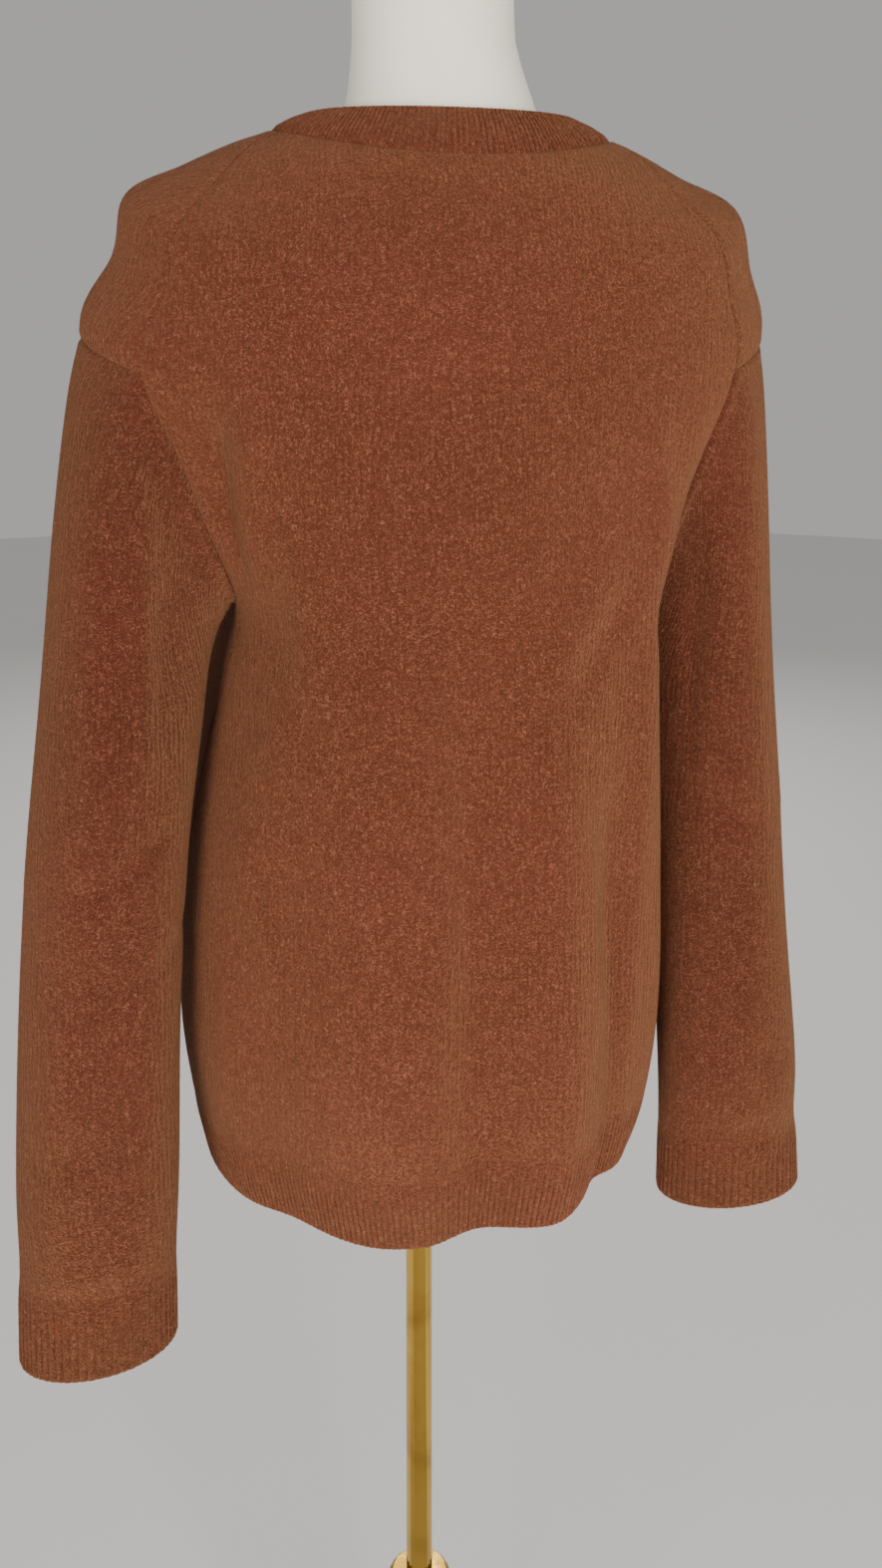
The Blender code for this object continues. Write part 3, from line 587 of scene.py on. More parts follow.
# ---------------------------------------------------------------- cloth meshes
@dataclass
class Layer:
    """A sheet's middle layer with what its wall needs.

    Attributes:
        points: Points of the middle layer.
        normals: Unit normals that point out.
        quads: Four point numbers for each face.
        knit: A place across and along the knit, in metres, for each corner of each face.
        relief: What the outer side stands above the plain wall at each point.
        fullness: Share of the wall's thickness at each point.
        plain_edge: Whether each point would stay plain at an open edge, being free or knitted on.
    """

    points: Array
    normals: Array
    quads: Array
    knit: Array
    relief: Array
    fullness: Array
    plain_edge: Array

    @classmethod
    def from_grid(cls, points: Array, normals: Array, knit: Array, closed: bool, plain_row: int) -> "Layer":
        """A layer from rows of points.

        Args:
            points: Rows, which run up, of columns that run anticlockwise as seen from inside.
            normals: Their normals.
            knit: Their places in the knit, with one more column where the rows are closed.
            closed: Whether the last column joins the first.
            plain_row: The row that is a free edge or knitted on, so that it has no seam.

        Returns:
            The layer.
        """
        rows, columns = points.shape[:2]
        number = np.arange(rows * columns).reshape(rows, columns)
        if closed:
            number = np.hstack([number, number[:, :1]])
        corners = [(slice(None, -1), slice(None, -1)), (slice(1, None), slice(None, -1)),
                   (slice(1, None), slice(1, None)), (slice(None, -1), slice(1, None))]
        quads = np.stack([number[c] for c in corners], axis=-1).reshape(-1, 4)
        places = np.stack([knit[c] for c in corners], axis=-2).reshape(-1, 4, 2)
        count = rows * columns
        plain_edge = np.zeros((rows, columns), bool)
        plain_edge[plain_row : plain_row + 1] = True
        return cls(points.reshape(-1, 3), normals.reshape(-1, 3), quads, places, np.zeros(count),
                   np.ones(count), plain_edge.reshape(-1))

    def joined(self, other: "Layer") -> "Layer":
        """This layer and another, welded where their points meet.

        Args:
            other: The layer to join to this one.

        Returns:
            The joined layer.
        """
        points = np.vstack([self.points, other.points])
        _, first, number = np.unique(np.round(points, 6), axis=0, return_index=True, return_inverse=True)
        number = number.reshape(-1)
        quads = np.vstack([self.quads, other.quads + len(self.points)])

        def both(name: str) -> Array:
            """One attribute of the welded points."""
            return np.concatenate([getattr(self, name), getattr(other, name)])[first]

        knit = np.concatenate([self.knit, other.knit])
        return Layer(points[first], both("normals"), number[quads], knit, both("relief"), both("fullness"),
                     both("plain_edge"))

    def rim(self) -> tuple[Array, Array]:
        """The layer's open edges.

        Returns:
            Pairs of point numbers, and those points' places in the knit.
        """
        starts = self.quads.reshape(-1)
        ends = np.roll(self.quads, -1, axis=1).reshape(-1)
        count = len(self.points)
        is_open = ~np.isin(starts * count + ends, ends * count + starts)
        knit = np.stack([self.knit, np.roll(self.knit, -1, axis=1)], axis=2).reshape(-1, 2, 2)
        return np.stack([starts, ends], axis=1)[is_open], knit[is_open]

    def shape_seams(self) -> "Layer":
        """Rolls the outer side into its seams: a soft ridge over the allowance and a dip at the edge.

        Returns:
            This layer.
        """
        edges, _ = self.rim()
        sewn = np.unique(edges)
        sewn = sewn[~self.plain_edge[sewn]]
        tree = KDTree(len(sewn))
        for number, point in enumerate(self.points[sewn]):
            tree.insert(point, number)
        tree.balance()
        distance = np.array([tree.find(point)[2] for point in self.points])
        self.relief += SEAM_RIDGE * bump(distance - SEAM_RIDGE_AT, SEAM_RIDGE_WIDTH)
        self.relief -= SEAM_DIP * bump(distance, SEAM_DIP_WIDTH)
        return self

    def outer(self, thickness: float) -> Array:
        """Points of the outer side."""
        lift = thickness / 2 * self.fullness + self.relief
        return self.points + self.normals * lift[:, None]

    def wall(self, name: str, thickness: float, material: bpy.types.Material) -> bpy.types.Object:
        """The closed wall around the layer, as an object.

        Args:
            name: The piece's name.
            thickness: The wall's full thickness.
            material: Its finish.

        Returns:
            The new object.
        """
        inner = self.points - self.normals * (thickness / 2 * self.fullness)[:, None]
        edges, rim_knit = self.rim()
        count = len(self.points)
        a, b = edges.T
        rim = np.stack([b, a, a + count, b + count], axis=1)
        rim_places = np.stack([rim_knit[:, 1], rim_knit[:, 0], rim_knit[:, 0], rim_knit[:, 1]], axis=1)
        quads = np.vstack([self.quads, self.quads[:, ::-1] + count, rim])
        knit = np.concatenate([self.knit, self.knit[:, ::-1], rim_places])
        return new_mesh(name, np.vstack([self.outer(thickness), inner]), quads, knit, material)


def new_mesh(
    name: str,
    points: Array,
    faces: Sequence,
    knit: Array | None,
    material: bpy.types.Material,
    sharp_from: float | None = RIM_ANGLE,
) -> bpy.types.Object:
    """A smooth shaded object from points and faces.

    Args:
        name: The piece's name.
        points: Its points.
        faces: Point numbers of its faces.
        knit: For each face corner, a place in the knit that the finish reads as its UV map.
        material: Its finish.
        sharp_from: The angle between faces from which an edge is sharp, if any is.

    Returns:
        The new object, linked to the scene.
    """
    mesh = bpy.data.meshes.new(name)
    mesh.from_pydata(points.tolist(), [], faces.tolist() if isinstance(faces, Array) else faces)
    if knit is not None:
        mesh.uv_layers.new(name="knit").data.foreach_set("uv", knit.reshape(-1).astype(np.float32))
    mesh.shade_smooth()
    if sharp_from is not None:
        mesh.set_sharp_from_angle(angle=sharp_from)
    mesh.materials.append(material)
    thing = bpy.data.objects.new(name, mesh)
    bpy.context.scene.collection.objects.link(thing)
    return thing


def knit_places(points: Array, start_column: int, closed: bool = False) -> Array:
    """Places in the knit: across it from one column, and along it from the first row.

    Args:
        points: Rows of points.
        start_column: The column that runs along one wale.
        closed: Whether the last column joins the first, which adds one more column of places.

    Returns:
        Rows of places.
    """
    if closed:
        points = np.concatenate([points, points[:, :1]], axis=1)
    steps = np.linalg.norm(np.diff(points, axis=1), axis=-1)
    across = np.concatenate([np.zeros((len(points), 1)), np.cumsum(steps, axis=1)], axis=1)
    across -= across[:, start_column : start_column + 1]
    rises = np.linalg.norm(np.diff(points, axis=0), axis=-1)
    up = np.concatenate([np.zeros((1, points.shape[1])), np.cumsum(rises, axis=0)], axis=0)
    return np.stack([across, up], axis=-1)


def graded(low: float, high: float, count: int, near: float) -> Array:
    """Even steps with one more narrow step at each end.

    Args:
        low: The first value.
        high: The last value.
        count: How many even steps there are.
        near: The narrow step, as a share of the whole.

    Returns:
        The values, low and high among them.
    """
    even = np.linspace(low, high, count + 1)
    step = (high - low) * near
    return np.concatenate([[low, low + step], even[1:-1], [high - step, high]])


def read_line(values: Array, run: Array, where: Array) -> Array:
    """Points or vectors of a line, read at lengths along it.

    Args:
        values: The line's points or vectors.
        run: The length along the line at each of them.
        where: The lengths to read at.

    Returns:
        One point or vector for each length.
    """
    return np.stack([np.interp(where, run, values[:, k]) for k in range(3)], axis=1)


def neck_normals(angles: Array) -> Array:
    """Normals along the collar seam, half way between the body's and the collar's.

    Args:
        angles: Angles from the centre back, in radians.

    Returns:
        One normal for each angle.
    """
    below = normals_of(body_surface, angles, np.full(angles.shape, float(NECK)))
    above = normals_of(collar_surface, angles, np.zeros(angles.shape))
    return unit(below + above)


# ---------------------------------------------------------------- the sweater's pieces
@dataclass
class Cut:
    """The flat size of a piece before it is sewn, as its maker would cut or knit it.

    Attributes:
        width: Its widest flat width.
        length: Its longest flat length.
        area: Its area, where it is not a rectangle.
        held: How the cloth is held now.
        rests_on: What it rests on or hangs from.
    """

    width: float
    length: float
    area: float | None
    held: Held
    rests_on: tuple[str, ...]

    def declare(self, piece: bpy.types.Object, with_pieces: Sequence[bpy.types.Object] = ()) -> None:
        """Does nothing with the piece.

        Args:
            piece: The cloth; not used.
            with_pieces: Other pieces of the same sheet; not used.
        """


@dataclass
class BodyPanels:
    """The back and the front, which reaches over the shoulders above the dropped seams.

    Attributes:
        columns: Columns of the back and of the front between the armholes.
        drop_columns: Columns of the front along each dropped seam.
        seam_step: The narrow column beside a seam, as a share of the whole.
        back_cut: The flat size of the back.
        front_cut: The flat size of the front.
    """

    columns: int = 140
    drop_columns: int = 34
    seam_step: float = 0.0025
    back_cut: Cut = field(default_factory=lambda: Cut(0.48, 0.62, 0.263, Held.DRAPED, ("form_torso",)))
    front_cut: Cut = field(default_factory=lambda: Cut(0.73, 0.62, 0.348, Held.DRAPED, ("form_torso",)))

    def rows(self, angles: Array, places: Sequence[float], centre: int) -> Layer:
        """Rows of the body as a layer.

        Args:
            angles: An angle for each row and column.
            places: The rows' places.
            centre: The column that runs along one wale.

        Returns:
            The layer.
        """
        grid = np.broadcast_to(np.array(places)[:, None], angles.shape)
        points, normals = body_surface(angles, grid), normals_of(body_surface, angles, grid)
        if places[-1] == NECK:
            normals[-1] = neck_normals(angles[-1])
        plain_row = 0 if places[0] == RIB_SEAM else len(places)
        return Layer.from_grid(points, normals, knit_places(points, centre), False, plain_row)

    def back(self) -> Layer:
        """The back's layer, from the rib seam to the collar seam.

        Returns:
            The layer.
        """
        places = with_seam_rows(ring_places(BODY_RINGS, RIB_SEAM, NECK))
        seams = [seam_angle(p, Edge.BACK) for p in places]
        angles = np.array([graded(-s, s, self.columns, self.seam_step) for s in seams])
        return self.rows(angles, places, angles.shape[1] // 2)

    def front(self) -> Layer:
        """The front's layer: a part below the dropped seams and a wider one that reaches over them.

        Returns:
            The two parts as one layer.
        """
        full = 2 * pi
        places = with_seam_rows(ring_places(BODY_RINGS, RIB_SEAM, DROP))
        seams = [seam_angle(p, Edge.FRONT) for p in places]
        angles = np.array([graded(s, full - s, self.columns, self.seam_step) for s in seams])
        lower = self.rows(angles, places, angles.shape[1] // 2)
        low, high = seam_angle(DROP, Edge.BACK), seam_angle(DROP, Edge.FRONT)
        shoulder = graded(low, high, self.drop_columns, 2 * self.seam_step)
        middle = graded(high, full - high, self.columns, self.seam_step)
        marks = np.concatenate([shoulder[:-1], middle[:-1], full - shoulder[::-1]])
        share = (marks - marks[0]) / (marks[-1] - marks[0])
        places = with_seam_rows(ring_places(BODY_RINGS, DROP, NECK))
        seams = np.array([seam_angle(p, Edge.BACK) for p in places])[:, None]
        upper = self.rows(seams + share[None, :] * (full - 2 * seams), places, len(marks) // 2)
        return lower.joined(upper)


@dataclass
class SleeveCloth:
    """A sleeve with its cuff: rings that grow out of the armhole.

    Attributes:
        side: The wearer's side.
        table: Its sections.
        drop_columns: Columns along the dropped seam.
        cut: The flat size of the sleeve.
        cuff_size: Width and length of its cuff band, laid flat.
    """

    side: Side
    table: tuple[Section, ...]
    drop_columns: int = 36
    cut: Cut = field(default_factory=lambda: Cut(0.48, 0.58, 0.155, Held.HUNG, ("knit_front", "knit_back")))
    cuff_size: tuple[float, float] = (0.25, 0.050)

    def __post_init__(self) -> None:
        """Works out the armhole's points, where they stand on the sleeve's rings and the rings' depths."""
        middles = np.stack([column(self.table, name) for name in "xyz"], axis=1)
        steps_down = np.linalg.norm(np.diff(middles, axis=0), axis=1)
        self.depths = np.concatenate([[0.0], np.cumsum(steps_down)])
        back, front = seam_angle(DROP, Edge.BACK), seam_angle(DROP, Edge.FRONT)
        steps = self.drop_columns
        arc = [(front + (back - front) * k / steps, float(DROP)) for k in range(steps + 1)]
        rows = ring_places(BODY_RINGS, UNDERARM, DROP)
        down = [(seam_angle(p, Edge.BACK), p) for p in reversed(rows)]
        up = [(seam_angle(p, Edge.FRONT), p) for p in rows]
        half = steps // 2
        angles, places = np.array(arc[half:] + down[1:] + up[1:] + arc[1:half]).T
        if self.side is Side.RIGHT:
            angles, places = np.roll(angles[::-1], 1), np.roll(places[::-1], 1)
        self.angles, self.places = self.side.value * angles, places
        self.start = body_surface(self.angles, self.places)
        lengths = np.linalg.norm(np.roll(self.start, -1, axis=0) - self.start, axis=1)
        run = np.concatenate([[0], np.cumsum(lengths)])
        self.lowest = int(np.argmin(self.start[:, 2]))
        self.turns = np.interp(run[:-1], [0, run[self.lowest], run[-1]], [0, pi, 2 * pi])

    def cuff_cut(self) -> Cut:
        """The cuff band's flat size; it hangs from the sleeve."""
        return Cut(*self.cuff_size, None, Held.HUNG, (f"knit_sleeve_{self.side.name.lower()}",))

    def armhole(self, turn: Array) -> Array:
        """Points of the armhole.

        Args:
            turn: Turns around it, in radians.

        Returns:
            One point for each turn.
        """
        knots = np.append(self.turns, 2 * pi)
        loop = np.vstack([self.start, self.start[:1]])
        return np.stack([np.interp(np.mod(turn, 2 * pi), knots, loop[:, k]) for k in range(3)], axis=-1)

    def smooth(self, turn: Array, place: Array) -> Array:
        """The sleeve's middle layer without its folds.

        Args:
            turn: Turns, which run anticlockwise as seen from above, in radians.
            place: Places counted in the sleeve's sections.

        Returns:
            Points, with x, y and z last.
        """

        def read(name: str) -> Array:
            """One column at the places."""
            return along(column(self.table, name), place)

        sign = self.side.value
        cosine, sine = np.cos(turn) * sign, np.sin(turn) * sign
        x = read("x") + read("half_x") * cosine
        y = read("y") + read("half_y") * sine
        z = read("z") + read("tilt") * cosine * sign
        level = np.stack(np.broadcast_arrays(lean(x, z), y, z), axis=-1)
        hold = np.clip(read("hold"), 0, 1)[..., None]
        return level * (1 - hold) + self.armhole(turn) * hold

    def surface(self, turn: Array, place: Array) -> Array:
        """The sleeve's middle layer with its folds and creases.

        Args:
            turn: Turns, which run anticlockwise as seen from above, in radians.
            place: Places counted in the sleeve's sections.

        Returns:
            Points, with x, y and z last.
        """
        place = np.clip(place, 0, CUFF_EDGE)
        turn, place = np.broadcast_arrays(np.asarray(turn, float), np.asarray(place, float))
        points = self.smooth(turn, place)
        normal = normals_of(self.smooth, turn, place)
        radius = along(column(self.table, "half_x"), place)
        own_turn = turn * self.side.value
        down = np.interp(place, np.arange(len(self.table)), self.depths)
        creases = SLEEVE_CREASES + (LEFT_CREASES if self.side is Side.LEFT else RIGHT_CREASES)
        shift = crease_shift(creases, own_turn, down, radius) * np.clip(2 * place, 0, 1)
        for fold in SLEEVE_FOLDS:
            share = np.clip((place - fold.low) / (fold.high - fold.low), 0, 1)
            middle = np.radians(fold.angle_low + (fold.angle_high - fold.angle_low) * share)
            away = np.angle(np.exp(1j * (own_turn - middle)))
            shift = shift + fold.depth * bump(away * radius, fold.width) * fade(place, fold.low, fold.high)
        return points + normal * shift[..., None]

    def seam_normals(self) -> Array:
        """Normals along the armhole, half way between the body's and the sleeve's.

        Returns:
            One normal for each point of the armhole.
        """
        body = normals_of(body_surface, self.angles, self.places)
        arm = normals_of(self.surface, self.turns, np.full(self.turns.shape, SLOPE_STEP))
        return unit(body + arm)

    def sleeve(self) -> Layer:
        """The sleeve's layer, from the armhole to the cuff seam, with its knit parted at the underarm.

        Returns:
            The layer.
        """
        places = np.array(with_seam_rows(ring_places(self.table, 0, CUFF_SEAM), near=0.04))
        turns = np.roll(self.turns, -self.lowest)
        turn_grid, place_grid = np.broadcast_arrays(turns[None, :], places[:, None])
        points = self.surface(turn_grid, place_grid)
        points[0] = np.roll(self.start, -self.lowest, axis=0)
        normals = normals_of(self.surface, turn_grid, np.maximum(place_grid, SLOPE_STEP))
        normals[0] = np.roll(self.seam_normals(), -self.lowest, axis=0)
        knit = knit_places(points, len(turns) // 2, closed=True)
        return Layer.from_grid(points, normals, knit, closed=True, plain_row=len(places) - 1)


@dataclass
class RibBand:
    """A band of narrow ribs.

    Attributes:
        surface: The surface it lies on.
        first: The first column's angle, in radians.
        last: The last column's angle; in a tube, a full turn after the first.
        edge_place: The free edge's place.
        seam_place: The sewn edge's place.
        ribs: How many ribs it has.
        closed: Whether it is a tube.
        points_per_rib: Columns for each rib.
        rows: Even rows between the rounded edge and the seam.
        rib_height: How far a rib stands out of the plain wall.
        groove_depth: How far a groove goes into it.
        groove_width: How wide a groove is, as a sine of the rib's half turn.
        unevenness: How much one rib is higher or lower than the next.
        edge_shares: Rows of the rounded free edge, as shares of the band's height.
        edge_fullness: Shares of the wall's thickness there.
        even_rows: Where the even rows start and end, as shares of the height.
        fading: Where ribs start to fade towards the cloth, and over how much of the height.
        knitted_on: Whether it grows out of the cloth; a band that is linked on has a seam.
        seam_normals: Normals along the sewn edge, where the cloth beyond it sets them.
    """

    surface: Surface
    first: float
    last: float
    edge_place: float
    seam_place: float
    ribs: int
    closed: bool
    points_per_rib: int = 7
    rows: int = 7
    rib_height: float = 0.0006
    groove_depth: float = 0.0004
    groove_width: float = 0.38
    unevenness: float = 0.12
    edge_shares: tuple[float, ...] = (0.0, 0.012, 0.035)
    edge_fullness: tuple[float, ...] = (0.25, 0.72, 0.95)
    even_rows: tuple[float, float] = (0.09, 0.97)
    fading: tuple[float, float] = (0.62, 0.36)
    knitted_on: bool = True
    seam_normals: Array | None = None

    def columns(self) -> Array:
        """The columns' angles, in radians."""
        count = self.ribs * self.points_per_rib
        return np.linspace(self.first, self.last, count + (not self.closed), endpoint=not self.closed)

    def layer(self) -> Layer:
        """The band's layer, with ribs, a rounded free edge and ribs that fade where it is knitted on.

        Returns:
            The layer.
        """
        angles = self.columns()
        shares = np.concatenate([self.edge_shares, np.linspace(*self.even_rows, self.rows), [1.0]])
        fullness = np.concatenate([self.edge_fullness, np.ones(self.rows + 1)])
        strength = fullness.copy()
        if self.knitted_on:
            fade_from, fade_over = self.fading
            strength *= 1 - np.clip((shares - fade_from) / fade_over, 0, 1) ** 1.5
        free_row, seam_row = 0, len(shares) - 1
        if self.edge_place > self.seam_place:
            shares, fullness, strength = shares[::-1], fullness[::-1], strength[::-1]
            free_row, seam_row = seam_row, free_row
        places = self.edge_place + (self.seam_place - self.edge_place) * shares
        angle_grid, place_grid = np.broadcast_arrays(angles[None, :], places[:, None])
        points = self.surface(angle_grid, place_grid)
        normals = normals_of(self.surface, angle_grid, place_grid)
        if self.seam_normals is not None:
            normals[seam_row] = self.seam_normals
        phase = np.arange(len(angles)) / self.points_per_rib
        knit = knit_places(points, 0, self.closed)
        knit[..., 0] = np.arange(knit.shape[1]) / self.points_per_rib * RIB_PITCH
        layer = Layer.from_grid(points, normals, knit, self.closed, plain_row=free_row)
        profile = 1 - bump(np.sin(pi * phase), self.groove_width)
        uneven = 1 + self.unevenness * np.sin(np.floor(phase) * GOLDEN_ANGLE)
        ribs = profile * uneven * (self.rib_height + self.groove_depth) - self.groove_depth
        layer.relief = (ribs[None, :] * strength[:, None]).reshape(-1)
        layer.fullness = np.broadcast_to(fullness[:, None], angle_grid.shape).reshape(-1).copy()
        return layer if self.knitted_on else layer.shape_seams()


@dataclass
class SeamStitches:
    """Small linking stitches of the same yarn, laid end to end in the dip of a seam.

    Attributes:
        pitch: From one stitch to the next.
        length: A stitch's length.
        radius: The yarn's radius in its middle.
        tilt: How far stitches turn out of the seam, to one side and the other in turn.
        sides: Sides of the yarn.
        sink: How far a stitch's middle lies under the plain outer side.
        ring_places: Where its rings are, from one end to the other.
        ring_widths: How wide they are, as shares of the radius.
    """

    pitch: float = 0.0024
    length: float = 0.0021
    radius: float = 0.00036
    tilt: float = radians(20)
    sides: int = 6
    sink: float = 0.0009
    ring_places: tuple[float, ...] = (-1.0, -0.72, 0.0, 0.72, 1.0)
    ring_widths: tuple[float, ...] = (0.25, 0.8, 1.0, 0.8, 0.25)

    def build(self, name: str, lines: Sequence[tuple[Array, Array, bool]], lift: float,
              material: bpy.types.Material) -> bpy.types.Object:
        """One joined mesh of stitches along several lines.

        Args:
            name: The piece's name.
            lines: For each line its points, their normals and whether it is closed.
            lift: How far the plain outer side is above the lines.
            material: The stitches' finish.

        Returns:
            The new object.
        """
        place, run, out = self.frames(lines)
        across = unit(np.cross(out, run))
        out = np.cross(run, across)
        sway = np.where(np.arange(len(place)) % 2, 1, -1)[:, None] * np.sin(self.tilt)
        way = unit(run + across * sway)
        across = np.cross(out, way)
        centre = place + out * (lift - self.sink)
        steps, widths = np.array(self.ring_places), np.array(self.ring_widths)
        ring = np.linspace(0, 2 * pi, self.sides, endpoint=False)
        radial = across[:, None] * np.cos(ring)[None, :, None] + out[:, None] * np.sin(ring)[None, :, None]
        body = centre[:, None, None] + way[:, None, None] * (steps * self.length / 2)[None, :, None, None]
        points = body + radial[:, None] * (widths * self.radius)[None, :, None, None]
        rings, sides = len(steps), self.sides
        local = np.arange(rings * sides).reshape(rings, sides)
        turned = np.roll(local, -1, axis=1)
        quads = np.stack([local[:-1], turned[:-1], turned[1:], local[1:]], axis=-1).reshape(-1, 4)
        offsets = np.arange(len(place))[:, None, None] * rings * sides
        faces = (quads[None] + offsets).reshape(-1, 4).tolist()
        caps = np.stack([local[0][::-1], local[-1]])
        faces += (caps[None] + offsets).reshape(-1, sides).tolist()
        return new_mesh(name, points.reshape(-1, 3), faces, None, material, sharp_from=None)

    def frames(self, lines: Sequence[tuple[Array, Array, bool]]) -> tuple[Array, Array, Array]:
        """Where the stitches of several lines lie.

        Args:
            lines: For each line its points, their normals and whether it is closed.

        Returns:
            For each stitch its middle, the way along the seam there and the way out.
        """
        places, runs, outs = [], [], []
        for points, normals, closed in lines:
            if closed:
                points, normals = np.vstack([points, points[:1]]), np.vstack([normals, normals[:1]])
            way = np.concatenate([[0], np.cumsum(np.linalg.norm(np.diff(points, axis=0), axis=1))])
            marks = np.arange(self.pitch / 2, way[-1] - self.pitch / 4, self.pitch)
            ahead = read_line(points, way, marks + LINE_STEP)
            behind = read_line(points, way, marks - LINE_STEP)
            places.append(read_line(points, way, marks))
            runs.append(unit(ahead - behind))
            outs.append(unit(read_line(normals, way, marks)))
        return np.vstack(places), np.vstack(runs), np.vstack(outs)


@dataclass
class Fuzz:
    """Loose wool fibres that stand out of a piece's outer side, as narrow curled ribbons.

    Attributes:
        fibres: How many there are for each square metre.
        seed: What the random draws start from.
        shortest: The shortest fibre's length.
        longest: The longest fibre's length.
        length_bias: The power that makes short fibres more common.
        stand: How far a fibre stands out, before its own share of this.
        stand_range: The least share, and the most that the random draw adds to it.
        stand_bias: The power that makes fibres that lie low more common.
        curl: How much fibres curl, as a share of their length.
        curl_turns: How many half turns the curl makes.
        arch: Where on a half wave the fibre starts, and how much of it it follows.
        reach: How far a fibre reaches along the cloth, as a share of its length.
        half_width: Half of a fibre's width at its root.
        thinning: How much of the width is lost at the tip.
        twist: How far the ribbon turns out of the cloth.
        segments: Faces along a fibre.
        root_depth: How deep its root is in the cloth.
    """

    fibres: float = 42000.0
    seed: int = 5
    shortest: float = 0.0022
    longest: float = 0.0060
    length_bias: float = 1.6
    stand: float = 0.0012
    stand_range: tuple[float, float] = (0.25, 1.5)
    stand_bias: float = 2.5
    curl: float = 0.35
    curl_turns: float = 2.2
    arch: tuple[float, float] = (0.08, 0.72)
    reach: float = 0.8
    half_width: float = 0.000075
    thinning: float = 0.75
    twist: float = 0.4
    segments: int = 3
    root_depth: float = 0.0002

    def build(self, name: str, outer: Array, quads: Array, material: bpy.types.Material) -> bpy.types.Object:
        """Fibres over some faces.

        Args:
            name: The piece's name.
            outer: Points of the outer side.
            quads: Its faces.
            material: The fibres' finish.

        Returns:
            The new object.
        """
        draw = np.random.default_rng(self.seed)
        corners = outer[quads]
        crossing = np.cross(corners[:, 2] - corners[:, 0], corners[:, 1] - corners[:, 3])
        areas = np.linalg.norm(crossing, axis=1) / 2
        count = int(areas.sum() * self.fibres)
        face = draw.choice(len(quads), count, p=areas / areas.sum())
        u, v = draw.random((2, count, 1))
        c = corners[face]
        root = (c[:, 0] * (1 - u) + c[:, 3] * u) * (1 - v) + (c[:, 1] * (1 - u) + c[:, 2] * u) * v
        out = unit(-crossing[face])
        heading = draw.random((count, 1)) * 2 * pi
        side = unit(np.cross(out, draw.normal(size=(count, 3))))
        other = np.cross(out, side)
        way = side * np.cos(heading) + other * np.sin(heading)
        bend = np.cross(out, way)
        spare = self.longest - self.shortest
        length = self.shortest + spare * draw.random((count, 1)) ** self.length_bias
        least, more = self.stand_range
        height = self.stand * (least + more * draw.random((count, 1)) ** self.stand_bias)
        curl = draw.normal(size=(count, 1)) * self.curl
        phase = draw.random((count, 1)) * 2 * pi
        start, stretch = self.arch
        points = []
        for k in range(self.segments + 1):
            t = k / self.segments
            rise = height * np.sin(pi * (start + stretch * t)) - self.root_depth
            swing = length * curl * (np.sin(self.curl_turns * pi * t + phase) - np.sin(phase)) / 2
            spine = root + way * length * t * self.reach + bend * swing + out * rise
            width = self.half_width * (1.0 - self.thinning * t)
            tip = unit(bend + out * draw.normal(size=(count, 1)) * self.twist) * width
            points += [spine - tip, spine + tip]
        stack = np.stack(points, axis=1)
        per = stack.shape[1]
        base = np.arange(count)[:, None] * per
        faces = [base + np.array([2 * k, 2 * k + 1, 2 * k + 3, 2 * k + 2]) for k in range(self.segments)]
        return new_mesh(name, stack.reshape(-1, 3), np.vstack(faces), None, material)


